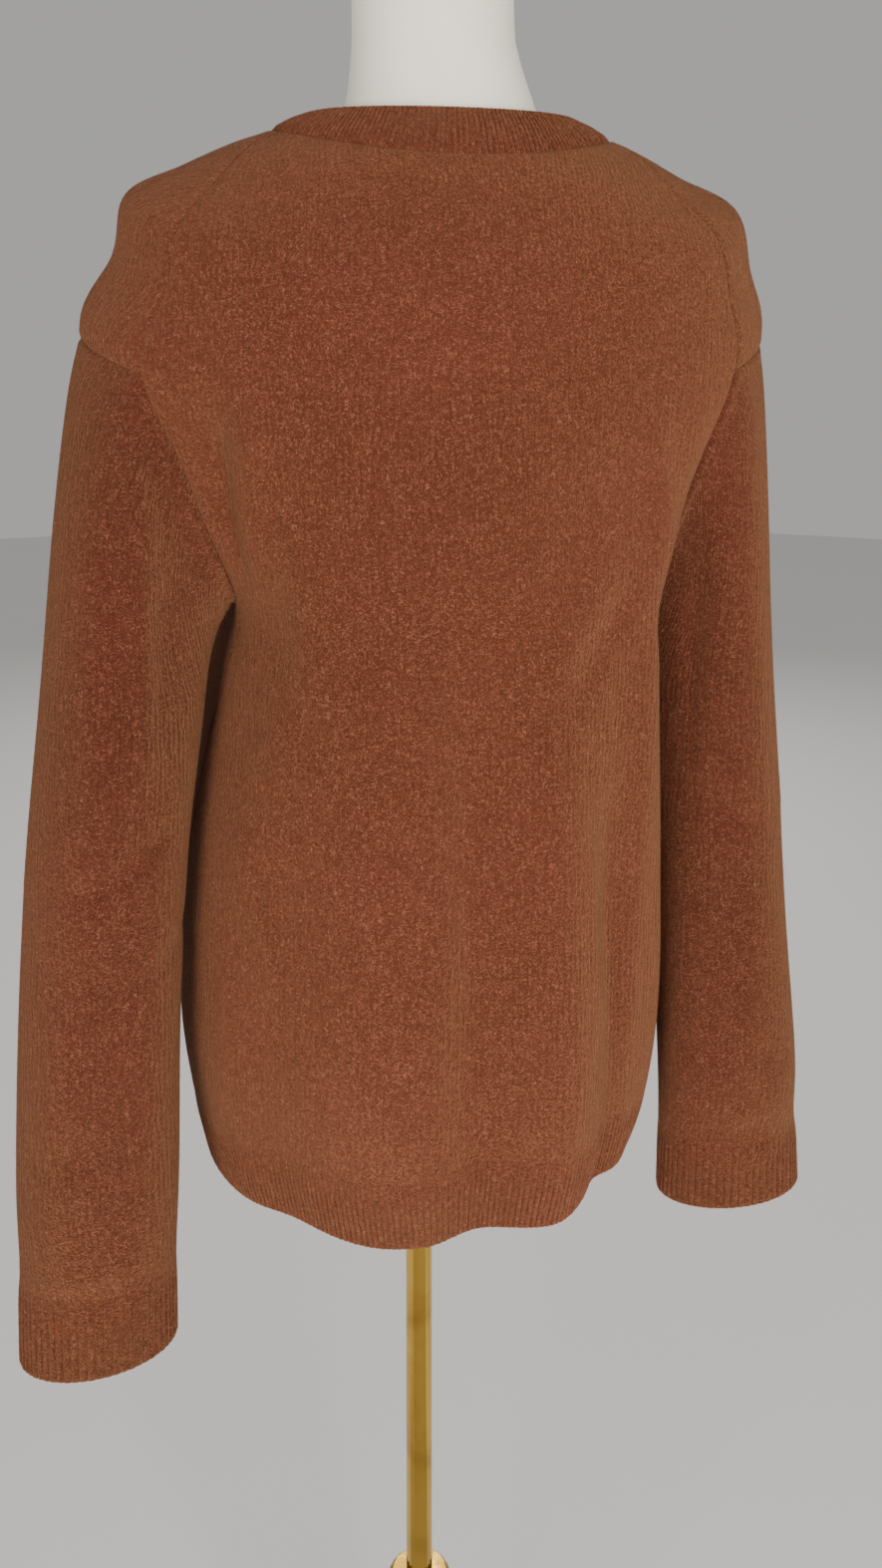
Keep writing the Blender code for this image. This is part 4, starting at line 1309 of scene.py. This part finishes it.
# ---------------------------------------------------------------- finishes
class Shading:
    """A material under construction, with short ways to add and join nodes."""

    def __init__(self, name: str) -> None:
        """Starts a Principled material.

        Args:
            name: The material's name.
        """
        self.material = bpy.data.materials.new(name)
        self.material.use_nodes = True
        self.tree = self.material.node_tree
        self.shader = self.tree.nodes["Principled BSDF"]

    def node(self, kind: str, **settings: object) -> bpy.types.Node:
        """A new node.

        Args:
            kind: Its type.
            settings: Values for its own settings.

        Returns:
            The node.
        """
        made = self.tree.nodes.new(kind)
        for name, value in settings.items():
            setattr(made, name, value)
        return made

    def link(self, source: bpy.types.NodeSocket, target: bpy.types.NodeSocket) -> None:
        """Joins two sockets."""
        self.tree.links.new(source, target)

    def feed(self, target: bpy.types.NodeSocket, value: object) -> None:
        """Gives a socket what it reads.

        Args:
            target: The socket.
            value: Another socket to link, or a plain value to set.
        """
        if isinstance(value, bpy.types.NodeSocket):
            self.link(value, target)
        else:
            target.default_value = value

    def math(self, operation: str, *values: object) -> bpy.types.NodeSocket:
        """A math node's result.

        Args:
            operation: What it does.
            values: Its sockets or numbers.

        Returns:
            The result.
        """
        made = self.node("ShaderNodeMath", operation=operation)
        for socket, value in zip(made.inputs, values):
            self.feed(socket, value)
        return made.outputs[0]

    def noise(self, vector: bpy.types.NodeSocket, scale: float, detail: float = 2.0,
              distortion: float = 0.0) -> bpy.types.NodeSocket:
        """A noise node's value.

        Args:
            vector: Where it is read.
            scale: How fine it is.
            detail: How many finer layers it has.
            distortion: How much it curls.

        Returns:
            The value, about 0.3 to 0.7.
        """
        made = self.node("ShaderNodeTexNoise")
        self.link(vector, made.inputs["Vector"])
        made.inputs["Scale"].default_value = scale
        made.inputs["Detail"].default_value = detail
        made.inputs["Distortion"].default_value = distortion
        return made.outputs["Fac"]

    def spread(self, value: bpy.types.NodeSocket, low: float, high: float, to_low: float = 0.0,
               to_high: float = 1.0) -> bpy.types.NodeSocket:
        """The value moved from one range to another, and kept in it.

        Args:
            value: The value.
            low: The start of its range.
            high: The end of its range.
            to_low: The start of the new range.
            to_high: The end of the new range.

        Returns:
            The new value.
        """
        made = self.node("ShaderNodeMapRange")
        self.link(value, made.inputs["Value"])
        for name, number in zip(("From Min", "From Max", "To Min", "To Max"), (low, high, to_low, to_high)):
            made.inputs[name].default_value = number
        return made.outputs["Result"]

    def mix(self, share: object, first: object, second: object, blend: str = "MIX") -> bpy.types.NodeSocket:
        """Two colours mixed.

        Args:
            share: The second one's share.
            first: The first colour.
            second: The second colour.
            blend: How they are mixed.

        Returns:
            The mixed colour.
        """
        made = self.node("ShaderNodeMix", data_type="RGBA", blend_type=blend)
        for name, value in zip((0, 6, 7), (share, first, second)):
            self.feed(made.inputs[name], value)
        return made.outputs[2]

    def stretched(self, vector: bpy.types.NodeSocket, scale: Sequence[float]) -> bpy.types.NodeSocket:
        """A vector with each axis scaled.

        Args:
            vector: The vector.
            scale: The three factors.

        Returns:
            The scaled vector.
        """
        made = self.node("ShaderNodeVectorMath", operation="MULTIPLY")
        self.link(vector, made.inputs[0])
        made.inputs[1].default_value = scale
        return made.outputs[0]

    def bump(self, height: bpy.types.NodeSocket, strength: float, distance: float) -> None:
        """Gives the shader a bump.

        Args:
            height: The height that it reads.
            strength: How much of it counts.
            distance: What a height of 1 is in metres.
        """
        made = self.node("ShaderNodeBump")
        made.inputs["Strength"].default_value = strength
        made.inputs["Distance"].default_value = distance
        self.link(height, made.inputs["Height"])
        self.link(made.outputs["Normal"], self.shader.inputs["Normal"])


@dataclass(frozen=True)
class WoolFinish:
    """Brushed heathered wool, knitted in fine wales.

    Attributes:
        name: The material's name.
        deep: The dark tone of the heather, also used as painted shade between the stitches and under the
            curls.
        main: The yarn's main colour.
        pale: Colour of the lighter fibres.
        blush: A redder tone that comes and goes over the cloth.
        wale: Width of one wale.
        course: Height of one course.
        relief: Depth of the stitches.
        grain: Curls of felted fibre in one metre.
        wander: How far a wale strays, as a share of its width.
    """

    name: str
    deep: tuple[float, float, float]
    main: tuple[float, float, float]
    pale: tuple[float, float, float]
    blush: tuple[float, float, float]
    wale: float
    course: float
    relief: float
    grain: float = 860.0
    wander: float = 0.35

    def material(self) -> bpy.types.Material:
        """The finish as a node material.

        Returns:
            The material.
        """
        make = Shading(self.name)
        space = make.node("ShaderNodeTexCoord").outputs["Object"]
        knit = make.node("ShaderNodeUVMap", uv_map="knit").outputs["UV"]
        parts = make.node("ShaderNodeSeparateXYZ")
        make.link(knit, parts.inputs[0])
        across, up = parts.outputs[0], parts.outputs[1]

        # Wales and courses, broken and felted over here and there.
        wander = make.spread(make.noise(space, 90.0, 2.0), 0.3, 0.7, -self.wander, self.wander)
        turns = make.math("ADD", make.math("DIVIDE", across, self.wale), wander)
        ridge = make.math("ABSOLUTE", make.math("SINE", make.math("MULTIPLY", turns, pi)))
        lean_in = make.math("PINGPONG", turns, 0.5)
        rows = make.math("ADD", make.math("DIVIDE", up, self.course), make.math("MULTIPLY", lean_in, 1.3))
        stitch = make.math("ABSOLUTE", make.math("SINE", make.math("MULTIPLY", rows, pi)))
        broken = make.spread(make.noise(make.stretched(knit, (260.0, 34.0, 1.0)), 1.0, 2.0), 0.34, 0.54)
        clear = make.spread(make.noise(space, 7.0, 2.0), 0.38, 0.58, 0.55, 1.0)
        shown = make.math("MULTIPLY", broken, clear)
        felt = make.noise(space, self.grain, 3.0, 0.9)
        curls = make.noise(space, self.grain * 0.55, 3.0, 1.8)

        # The relief: knit under a felted nap.
        height = make.math("MULTIPLY", make.math("ADD", ridge, make.math("MULTIPLY", stitch, 0.22)), shown)
        height = make.math("ADD", make.math("MULTIPLY", height, 0.8), make.math("MULTIPLY", felt, 1.5))
        height = make.math("ADD", height, make.math("MULTIPLY", curls, 1.4))
        make.bump(height, 1.0, self.relief)

        # Heathered colour, pale on the curls, with painted shade in the deep tone between the stitches and
        # under the curls.
        patches = make.spread(make.noise(space, 6.5, 3.0), 0.38, 0.66)
        colour = make.mix(make.spread(felt, 0.38, 0.60), (*self.deep, 1), (*self.main, 1))
        colour = make.mix(make.math("MULTIPLY", patches, 0.55), colour, (*self.blush, 1))
        flecks = make.math("MULTIPLY", make.spread(curls, 0.50, 0.66), make.spread(felt, 0.38, 0.58))
        colour = make.mix(make.math("MULTIPLY", flecks, 0.78), colour, (*self.pale, 1))
        # Painted shade: the grooves between the wales are darkened in the colour.
        painted_groove_shade = make.math("MULTIPLY", make.spread(ridge, 0.0, 0.5, 1.0, 0.0), shown)
        colour = make.mix(make.math("MULTIPLY", painted_groove_shade, 0.72), colour, (*self.deep, 1))
        # Painted shade: the low parts of the curls are darkened in the colour.
        shade = make.spread(curls, 0.34, 0.47, 0.75, 0.0)
        colour = make.mix(shade, colour, (*self.deep, 1))
        make.link(colour, make.shader.inputs["Base Color"])
        rough = make.spread(felt, 0.3, 0.7, 0.86, 0.97)
        make.link(rough, make.shader.inputs["Roughness"])
        make.shader.inputs["Sheen Weight"].default_value = 0.34
        make.shader.inputs["Sheen Roughness"].default_value = 0.34
        make.shader.inputs["Sheen Tint"].default_value = (1.0, 0.53, 0.25, 1.0)
        make.shader.inputs["Specular IOR Level"].default_value = 0.08
        return make.material


@dataclass(frozen=True)
class FibreFinish:
    """Loose wool fibres of two tones: the material's name, the main tone and the paler one."""

    name: str
    main: tuple[float, float, float]
    pale: tuple[float, float, float]

    def material(self) -> bpy.types.Material:
        """The finish as a node material.

        Returns:
            The material.
        """
        make = Shading(self.name)
        space = make.node("ShaderNodeTexCoord").outputs["Object"]
        tone = make.spread(make.noise(space, 420.0, 2.0), 0.35, 0.65)
        make.link(make.mix(tone, (*self.main, 1), (*self.pale, 1)), make.shader.inputs["Base Color"])
        make.link(make.spread(tone, 0.0, 1.0, 0.75, 0.9), make.shader.inputs["Roughness"])
        make.shader.inputs["Specular IOR Level"].default_value = 0.15
        return make.material


@dataclass(frozen=True)
class CoverFinish:
    """The form's smooth off-white cover: the material's name, its colour and that of handled places."""

    name: str
    main: tuple[float, float, float]
    worn: tuple[float, float, float]

    def material(self) -> bpy.types.Material:
        """The finish as a node material.

        Returns:
            The material.
        """
        make = Shading(self.name)
        space = make.node("ShaderNodeTexCoord").outputs["Object"]
        clouds = make.spread(make.noise(space, 9.0, 4.0), 0.35, 0.7)
        marks = make.spread(make.noise(make.stretched(space, (60.0, 60.0, 14.0)), 1.0, 5.0, 0.8), 0.62, 0.75)
        colour = make.mix(make.math("MULTIPLY", clouds, 0.5), (*self.main, 1), (*self.worn, 1))
        colour = make.mix(make.math("MULTIPLY", marks, 0.25), colour, (*self.worn, 1))
        make.link(colour, make.shader.inputs["Base Color"])
        make.link(make.spread(clouds, 0.0, 1.0, 0.48, 0.62), make.shader.inputs["Roughness"])
        fine = make.noise(space, 900.0, 3.0)
        soft = make.noise(space, 40.0, 2.0)
        make.bump(make.math("ADD", make.math("MULTIPLY", fine, 0.25), soft), 0.25, 0.0006)
        return make.material


@dataclass(frozen=True)
class BrassFinish:
    """Polished brass with faint drawn lines, a few duller clouds and dark streaks of painted reflection.

    Attributes:
        name: The material's name.
        bright: Its colour where it is clean.
        dull: Its colour in the duller clouds and in the streaks of painted reflection.
        round_plate: Whether its fine marks are even all round, as on the plate, or run up, as on the pole.
    """

    name: str
    bright: tuple[float, float, float]
    dull: tuple[float, float, float]
    round_plate: bool = False

    def material(self) -> bpy.types.Material:
        """The finish as a node material.

        Returns:
            The material.
        """
        make = Shading(self.name)
        space = make.node("ShaderNodeTexCoord").outputs["Object"]
        grain = (900.0, 900.0, 9.0) if not self.round_plate else (240.0, 240.0, 240.0)
        lines = make.noise(make.stretched(space, grain), 1.0, 3.0)
        # Painted reflection: dark streaks stretched up the part, standing in for the polished pole's
        # reflections.
        painted_reflection_streaks = make.spread(make.noise(make.stretched(space, (130.0, 130.0, 1.6)), 1.0, 2.0), 0.42, 0.56)
        clouds = make.spread(make.noise(space, 22.0, 4.0, 0.6), 0.45, 0.75)
        colour = make.mix(make.math("MULTIPLY", clouds, 0.5), (*self.bright, 1), (*self.dull, 1))
        colour = make.mix(make.math("MULTIPLY", painted_reflection_streaks, 0.65), colour, (*self.dull, 1))
        make.link(colour, make.shader.inputs["Base Color"])
        make.shader.inputs["Metallic"].default_value = 1.0
        dulled = make.math("MULTIPLY", clouds, 0.08)
        rough = make.math("ADD", make.spread(lines, 0.3, 0.7, 0.07, 0.14), dulled)
        make.link(rough, make.shader.inputs["Roughness"])
        make.bump(lines, 0.12, 0.0002)
        return make.material


@dataclass(frozen=True)
class FloorFinish:
    """A plain pale floor."""

    name: str = "pale_floor"
    colour: tuple[float, float, float] = (0.78, 0.77, 0.75)

    def material(self) -> bpy.types.Material:
        """The finish as a node material.

        Returns:
            The material.
        """
        make = Shading(self.name)
        space = make.node("ShaderNodeTexCoord").outputs["Object"]
        tone = make.spread(make.noise(space, 2.0, 3.0), 0.3, 0.7, 0.0, 0.06)
        make.link(make.mix(tone, (*self.colour, 1), (0.6, 0.6, 0.6, 1)), make.shader.inputs["Base Color"])
        make.shader.inputs["Roughness"].default_value = 0.85
        return make.material


WOOL_BODY = WoolFinish(
    "wool_body", (0.088, 0.023, 0.011), (0.158, 0.045, 0.022), (0.345, 0.132, 0.078), (0.155, 0.038, 0.023),
    wale=0.0038, course=0.0026, relief=0.0010,
)
# Painted shade: the sleeves' wool is the body's wool made darker, for sleeves that turn away from the light.
WOOL_SLEEVE_SHADED = WoolFinish(
    "wool_sleeve_painted_shade", (0.074, 0.019, 0.009), (0.134, 0.038, 0.019), (0.300, 0.114, 0.066), (0.134, 0.032, 0.019),
    wale=0.0038, course=0.0026, relief=0.0010,
)
WOOL_RIB = WoolFinish(
    "wool_rib", (0.076, 0.020, 0.010), (0.152, 0.043, 0.021), (0.300, 0.112, 0.064), (0.150, 0.037, 0.022),
    wale=RIB_PITCH, course=0.0024, relief=0.0008, wander=0.10,
)
# Painted shade: the cuffs' wool is the rib wool made darker, for the cuffs low on the shaded sleeves.
WOOL_CUFF_SHADED = WoolFinish(
    "wool_cuff_painted_shade", (0.066, 0.017, 0.008), (0.132, 0.037, 0.018), (0.270, 0.100, 0.056), (0.130, 0.032, 0.018),
    wale=RIB_PITCH, course=0.0024, relief=0.0008, wander=0.10,
)
STITCH_YARN = FibreFinish("seam_yarn", (0.085, 0.022, 0.010), (0.150, 0.042, 0.020))
LOOSE_FIBRE = FibreFinish("loose_fibre", (0.260, 0.080, 0.036), (0.560, 0.250, 0.140))
FORM_COVER = CoverFinish("form_cover_white", (0.95, 0.895, 0.77), (0.84, 0.78, 0.65))
POLE_BRASS = BrassFinish("pole_brass", (0.70, 0.44, 0.085), (0.16, 0.080, 0.010))
PLATE_BRASS = BrassFinish("plate_brass", (0.76, 0.51, 0.16), (0.46, 0.28, 0.07), round_plate=True)


# ---------------------------------------------------------------- assemblies
@dataclass
class Sweater:
    """The whole sweater: panels, sleeves, rib bands, seams and fuzz.

    Attributes:
        hem_ribs: Ribs of each hem band.
        collar_ribs: Ribs of the collar.
        cuff_ribs: Ribs of each cuff.
        collar_points: Points of the collar's line of stitches.
        hem_back_cut: The flat size of the back's hem band.
        hem_front_cut: The flat size of the front's hem band.
        collar_cut: The flat size of the collar.
        stitches: The linking stitches.
    """

    hem_ribs: int = 136
    collar_ribs: int = 204
    cuff_ribs: int = 60
    collar_points: int = 360
    hem_back_cut: Cut = field(default_factory=lambda: Cut(0.46, 0.045, None, Held.HUNG, ("knit_back",)))
    hem_front_cut: Cut = field(default_factory=lambda: Cut(0.49, 0.045, None, Held.HUNG, ("knit_front",)))
    collar_cut: Cut = field(default_factory=lambda: Cut(0.62, 0.031, None, Held.STRETCHED, ("knit_back",)))
    stitches: SeamStitches = field(default_factory=SeamStitches)

    def build(self) -> list[bpy.types.Object]:
        """Builds every piece of the sweater.

        Returns:
            The pieces.
        """
        # The sleeves get the darker copy of the wool, which is painted shade.
        wool, shaded_arm_wool = WOOL_BODY.material(), WOOL_SLEEVE_SHADED.material()
        # The cuffs get the darker copy of the rib wool, which is painted shade.
        rib, cuff = WOOL_RIB.material(), WOOL_CUFF_SHADED.material()
        yarn, fibre = STITCH_YARN.material(), LOOSE_FIBRE.material()
        panels = BodyPanels()
        arms = [SleeveCloth(Side.LEFT, SLEEVE_LEFT), SleeveCloth(Side.RIGHT, SLEEVE_RIGHT)]
        back, front = panels.back().shape_seams(), panels.front().shape_seams()
        sleeves = [arm.sleeve().shape_seams() for arm in arms]
        bands = self.bands(arms)

        made = []
        cloths = [
            ("knit_back", "back_panel", back, wool, "knit_body", panels.back_cut),
            ("knit_front", "front_panel", front, wool, "knit_body", panels.front_cut),
            ("knit_sleeve_left", "sleeve_left", sleeves[0], shaded_arm_wool, "knit_body", arms[0].cut),
            ("knit_sleeve_right", "sleeve_right", sleeves[1], shaded_arm_wool, "knit_body", arms[1].cut),
        ]
        cuts = (self.hem_back_cut, self.hem_front_cut, self.collar_cut, *(arm.cuff_cut() for arm in arms))
        for (name, node, layer), cut in zip(bands, cuts):
            cloths.append((name, node, layer, cuff if "cuff" in name else rib, "knit_rib", cut))
        for name, node, layer, finish, slot, cut in cloths:
            piece = layer.wall(name, CLOTH_THICKNESS, finish)
            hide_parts(node)
            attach(piece, "root")
            made.append((piece, cut, layer))
            LOG.info("%s: %d points", name, len(piece.data.vertices))
        pieces = [piece for piece, _, _ in made]
        seams = self.seam_pieces(arms, yarn)
        for piece, cut, _ in made:
            cut.declare(piece)
        fuzz = []
        for number, (piece, _, layer) in enumerate(made):
            hairs = Fuzz(seed=11 + number).build(
                piece.name.replace("knit", "fuzz", 1), layer.outer(CLOTH_THICKNESS), layer.quads, fibre)
            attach(hairs, "root")
            fuzz.append(hairs)
            LOG.info("%s: %d faces", hairs.name, len(hairs.data.polygons))
        return pieces + seams + fuzz

    def bands(self, arms: Sequence[SleeveCloth]) -> list[tuple[str, str, Layer]]:
        """The rib bands.

        Args:
            arms: The two sleeves.

        Returns:
            For each band its name, the CAD node it stands for and its layer.
        """
        side = seam_angle(HEM, Edge.BACK)
        made = []
        for name, first, last in (("back", -side, side), ("front", side, 2 * pi - side)):
            band = RibBand(body_surface, first, last, float(HEM), float(RIB_SEAM), self.hem_ribs, False)
            made.append((f"knit_hem_rib_{name}", f"hem_rib_{name}", band.layer()))
        collar = RibBand(collar_surface, 0.0, 2 * pi, 2.0, 0.0, self.collar_ribs, True, knitted_on=False)
        collar.seam_normals = neck_normals(collar.columns())
        made.append(("knit_collar_rib", "collar_rib", collar.layer()))
        for name, arm in zip(("left", "right"), arms):
            cuff = RibBand(arm.surface, 0.0, 2 * pi, float(CUFF_EDGE), float(CUFF_SEAM), self.cuff_ribs, True)
            made.append((f"knit_cuff_rib_{name}", f"cuff_rib_{name}", cuff.layer()))
        return made

    def seam_pieces(self, arms: Sequence[SleeveCloth], yarn: bpy.types.Material) -> list[bpy.types.Object]:
        """The linking stitches of every seam.

        Args:
            arms: The two sleeves.
            yarn: The stitches' finish.

        Returns:
            One joined piece for each kind of seam.
        """
        ring = np.linspace(0, 2 * pi, self.collar_points, endpoint=False)
        collar = [(body_surface(ring, np.full(ring.shape, float(NECK))), neck_normals(ring), True)]
        sides, shoulders = [], []
        for sign in (1, -1):
            low = np.array(ring_places(BODY_RINGS, RIB_SEAM, UNDERARM))
            high = np.array(ring_places(BODY_RINGS, DROP, NECK))
            low_angles = sign * np.array([seam_angle(p, Edge.BACK) for p in low])
            high_angles = sign * np.array([seam_angle(p, Edge.BACK) for p in high])
            sides.append(self.body_line(low_angles, low, False))
            shoulders.append(self.body_line(high_angles, high, False))
        armholes = [(arm.start, arm.seam_normals(), True) for arm in arms]
        kinds = (("collar", collar), ("sides", sides), ("shoulders", shoulders), ("armholes", armholes))
        made = []
        for kind, lines in kinds:
            piece = self.stitches.build(f"stitches_{kind}", lines, CLOTH_THICKNESS / 2, yarn)
            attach(piece, "root")
            made.append(piece)
            LOG.info("%s: %d faces", piece.name, len(piece.data.polygons))
        return made

    @staticmethod
    def body_line(angles: Array, places: Array, closed: bool) -> tuple[Array, Array, bool]:
        """A line on the body.

        Args:
            angles: Its points' angles, in radians.
            places: Their places, counted in rings.
            closed: Whether it is closed.

        Returns:
            Its points, their normals and whether it is closed.
        """
        return body_surface(angles, places), normals_of(body_surface, angles, places), closed


@dataclass
class DressForm:
    """The limbless form and its pole stand.

    Attributes:
        columns: Columns around the form.
        rows_between: Rows from one level to the next.
        sharp_from: The angle between faces from which an edge is sharp.
    """

    columns: int = 112
    rows_between: int = 5
    sharp_from: float = radians(50)

    def build(self) -> bpy.types.Object:
        """The form's body, finer than its solid.

        Returns:
            The new piece.
        """
        angles = np.linspace(0, 2 * pi, self.columns, endpoint=False)[None, :]
        places = np.linspace(0, len(FORM_LEVELS) - 1, (len(FORM_LEVELS) - 1) * self.rows_between + 1)[:, None]

        def read(name: str) -> Array:
            """One column of the levels, read straight between them."""
            return np.interp(places, np.arange(len(FORM_LEVELS)), column(FORM_LEVELS, name))

        smooth = np.clip((places - 1) / 2, 0, 1) * np.clip((len(FORM_LEVELS) - 3 - places) / 2, 0, 1)

        def curve(name: str) -> Array:
            """One column, curved through the levels except near the two flat ends."""
            return read(name) * (1 - smooth) + along(column(FORM_LEVELS, name), places) * smooth

        exponent = 2 / curve("square")
        z = curve("z")
        x = curve("x") + power(np.sin(angles), exponent) * curve("half")
        y = power(np.cos(angles), exponent) * np.where(np.cos(angles) > 0, curve("back"), curve("front"))
        points = np.stack(np.broadcast_arrays(lean(x, z), y, z), axis=-1)
        rows, columns = points.shape[:2]
        number = np.arange(rows * columns).reshape(rows, columns)
        turned = np.roll(number, -1, axis=1)
        quads = np.stack([number[:-1], number[1:], turned[1:], turned[:-1]], axis=-1).reshape(-1, 4)
        faces = quads.tolist() + [number[0].tolist(), number[-1][::-1].tolist()]
        material = FORM_COVER.material()
        form = new_mesh("dress_form", points.reshape(-1, 3), faces, None, material, self.sharp_from)
        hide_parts("form_torso")
        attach(form, "root")
        LOG.info("dress_form: %d faces", len(form.data.polygons))
        return form

    @staticmethod
    def dress_stand() -> None:
        """Gives the pole, its collar, the tube and the base plate their brass."""
        pole, plate = POLE_BRASS.material(), PLATE_BRASS.material()
        finishes = {"pole": pole, "pole_collar": pole, "lower_tube": pole, "base_plate": plate}
        for name, finish in finishes.items():
            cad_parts[name].material_slots[0].material = finish
            LOG.info("%s: %s", name, finish.name)


@dataclass(frozen=True)
class Lamp:
    """A square soft light: its name, where it is, its side, its power in watts and its colour."""

    name: str
    place: tuple[float, float, float]
    size: float
    watts: float
    colour: tuple[float, float, float]


LAMPS = (
    Lamp("key", (-0.5, 2.1, 1.1), 0.9, 46.0, (1.0, 0.97, 0.93)),
    Lamp("fill", (1.7, 2.2, 1.0), 1.3, 44.0, (1.0, 0.98, 0.96)),
    Lamp("front", (-0.6, -2.8, 2.3), 1.8, 40.0, (1.0, 0.98, 0.95)),
)


@dataclass
class Studio:
    """Floor, soft light and the camera at the photograph's place.

    Attributes:
        floor_radius: The round floor's radius.
        floor_sides: Its sides.
        camera_place: Where the camera is.
        camera_tilt: Its tilt up from straight down, in degrees.
        camera_heading: Its heading, in degrees.
        focal_length: Its focal length, in millimetres.
        shift_y: How far its picture is shifted.
        sky: The colour of the light from all round.
        sky_strength: Its strength.
    """

    floor_radius: float = 7.0
    floor_sides: int = 96
    camera_place: tuple[float, float, float] = (0.1476, 0.8371, 1.20)
    camera_tilt: float = 86.0
    camera_heading: float = 168.92
    focal_length: float = 28.26
    shift_y: float = -0.229
    sky: tuple[float, float, float] = (1.0, 0.985, 0.96)
    sky_strength: float = 0.42

    def build(self) -> None:
        """Builds floor, lights and camera."""
        sides = self.floor_sides
        ring = np.linspace(0, 2 * pi, sides, endpoint=False)
        points = np.stack([np.cos(ring), np.sin(ring), np.zeros(sides)], axis=1) * self.floor_radius
        floor = new_mesh("floor", points, [list(range(sides))], None, FloorFinish().material())

        world = bpy.data.worlds.new("studio")
        world.use_nodes = True
        world.node_tree.nodes["Background"].inputs["Color"].default_value = (*self.sky, 1)
        world.node_tree.nodes["Background"].inputs["Strength"].default_value = self.sky_strength
        bpy.context.scene.world = world

        for lamp in LAMPS:
            self.light(lamp)

        camera = bpy.data.objects.new("camera", bpy.data.cameras.new("camera"))
        camera.location = self.camera_place
        camera.rotation_euler = (radians(self.camera_tilt), 0.0, radians(self.camera_heading))
        camera.data.lens = self.focal_length
        camera.data.sensor_width = 36.0
        camera.data.sensor_fit = "AUTO"
        camera.data.shift_y = self.shift_y
        bpy.context.scene.collection.objects.link(camera)
        bpy.context.scene.camera = camera

    @staticmethod
    def light(lamp: Lamp) -> None:
        """Hangs a light that faces the sweater's middle.

        Args:
            lamp: The light.
        """
        data = bpy.data.lights.new(lamp.name, "AREA")
        data.size = lamp.size
        data.energy = lamp.watts
        data.color = lamp.colour
        thing = bpy.data.objects.new(lamp.name, data)
        thing.location = lamp.place
        aim = np.array(SWEATER_MIDDLE) - np.array(lamp.place)
        heading = np.arctan2(-aim[0], aim[1])
        tilt = np.arccos(-aim[2] / np.linalg.norm(aim))
        thing.rotation_euler = (tilt, 0.0, heading)
        thing.visible_camera = False
        bpy.context.scene.collection.objects.link(thing)


def write_sizes() -> None:
    """Updates the view layer."""
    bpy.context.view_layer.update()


def main() -> None:
    """Builds the sweater, its form and the studio, in order."""
    logging.basicConfig(level=logging.INFO, format="%(message)s")
    Studio().build()
    pieces = Sweater().build()
    form = DressForm()
    form.build()
    form.dress_stand()
    LOG.info("%d cloth pieces built", len(pieces))
    write_sizes()


if __name__ == "__main__":
    main()
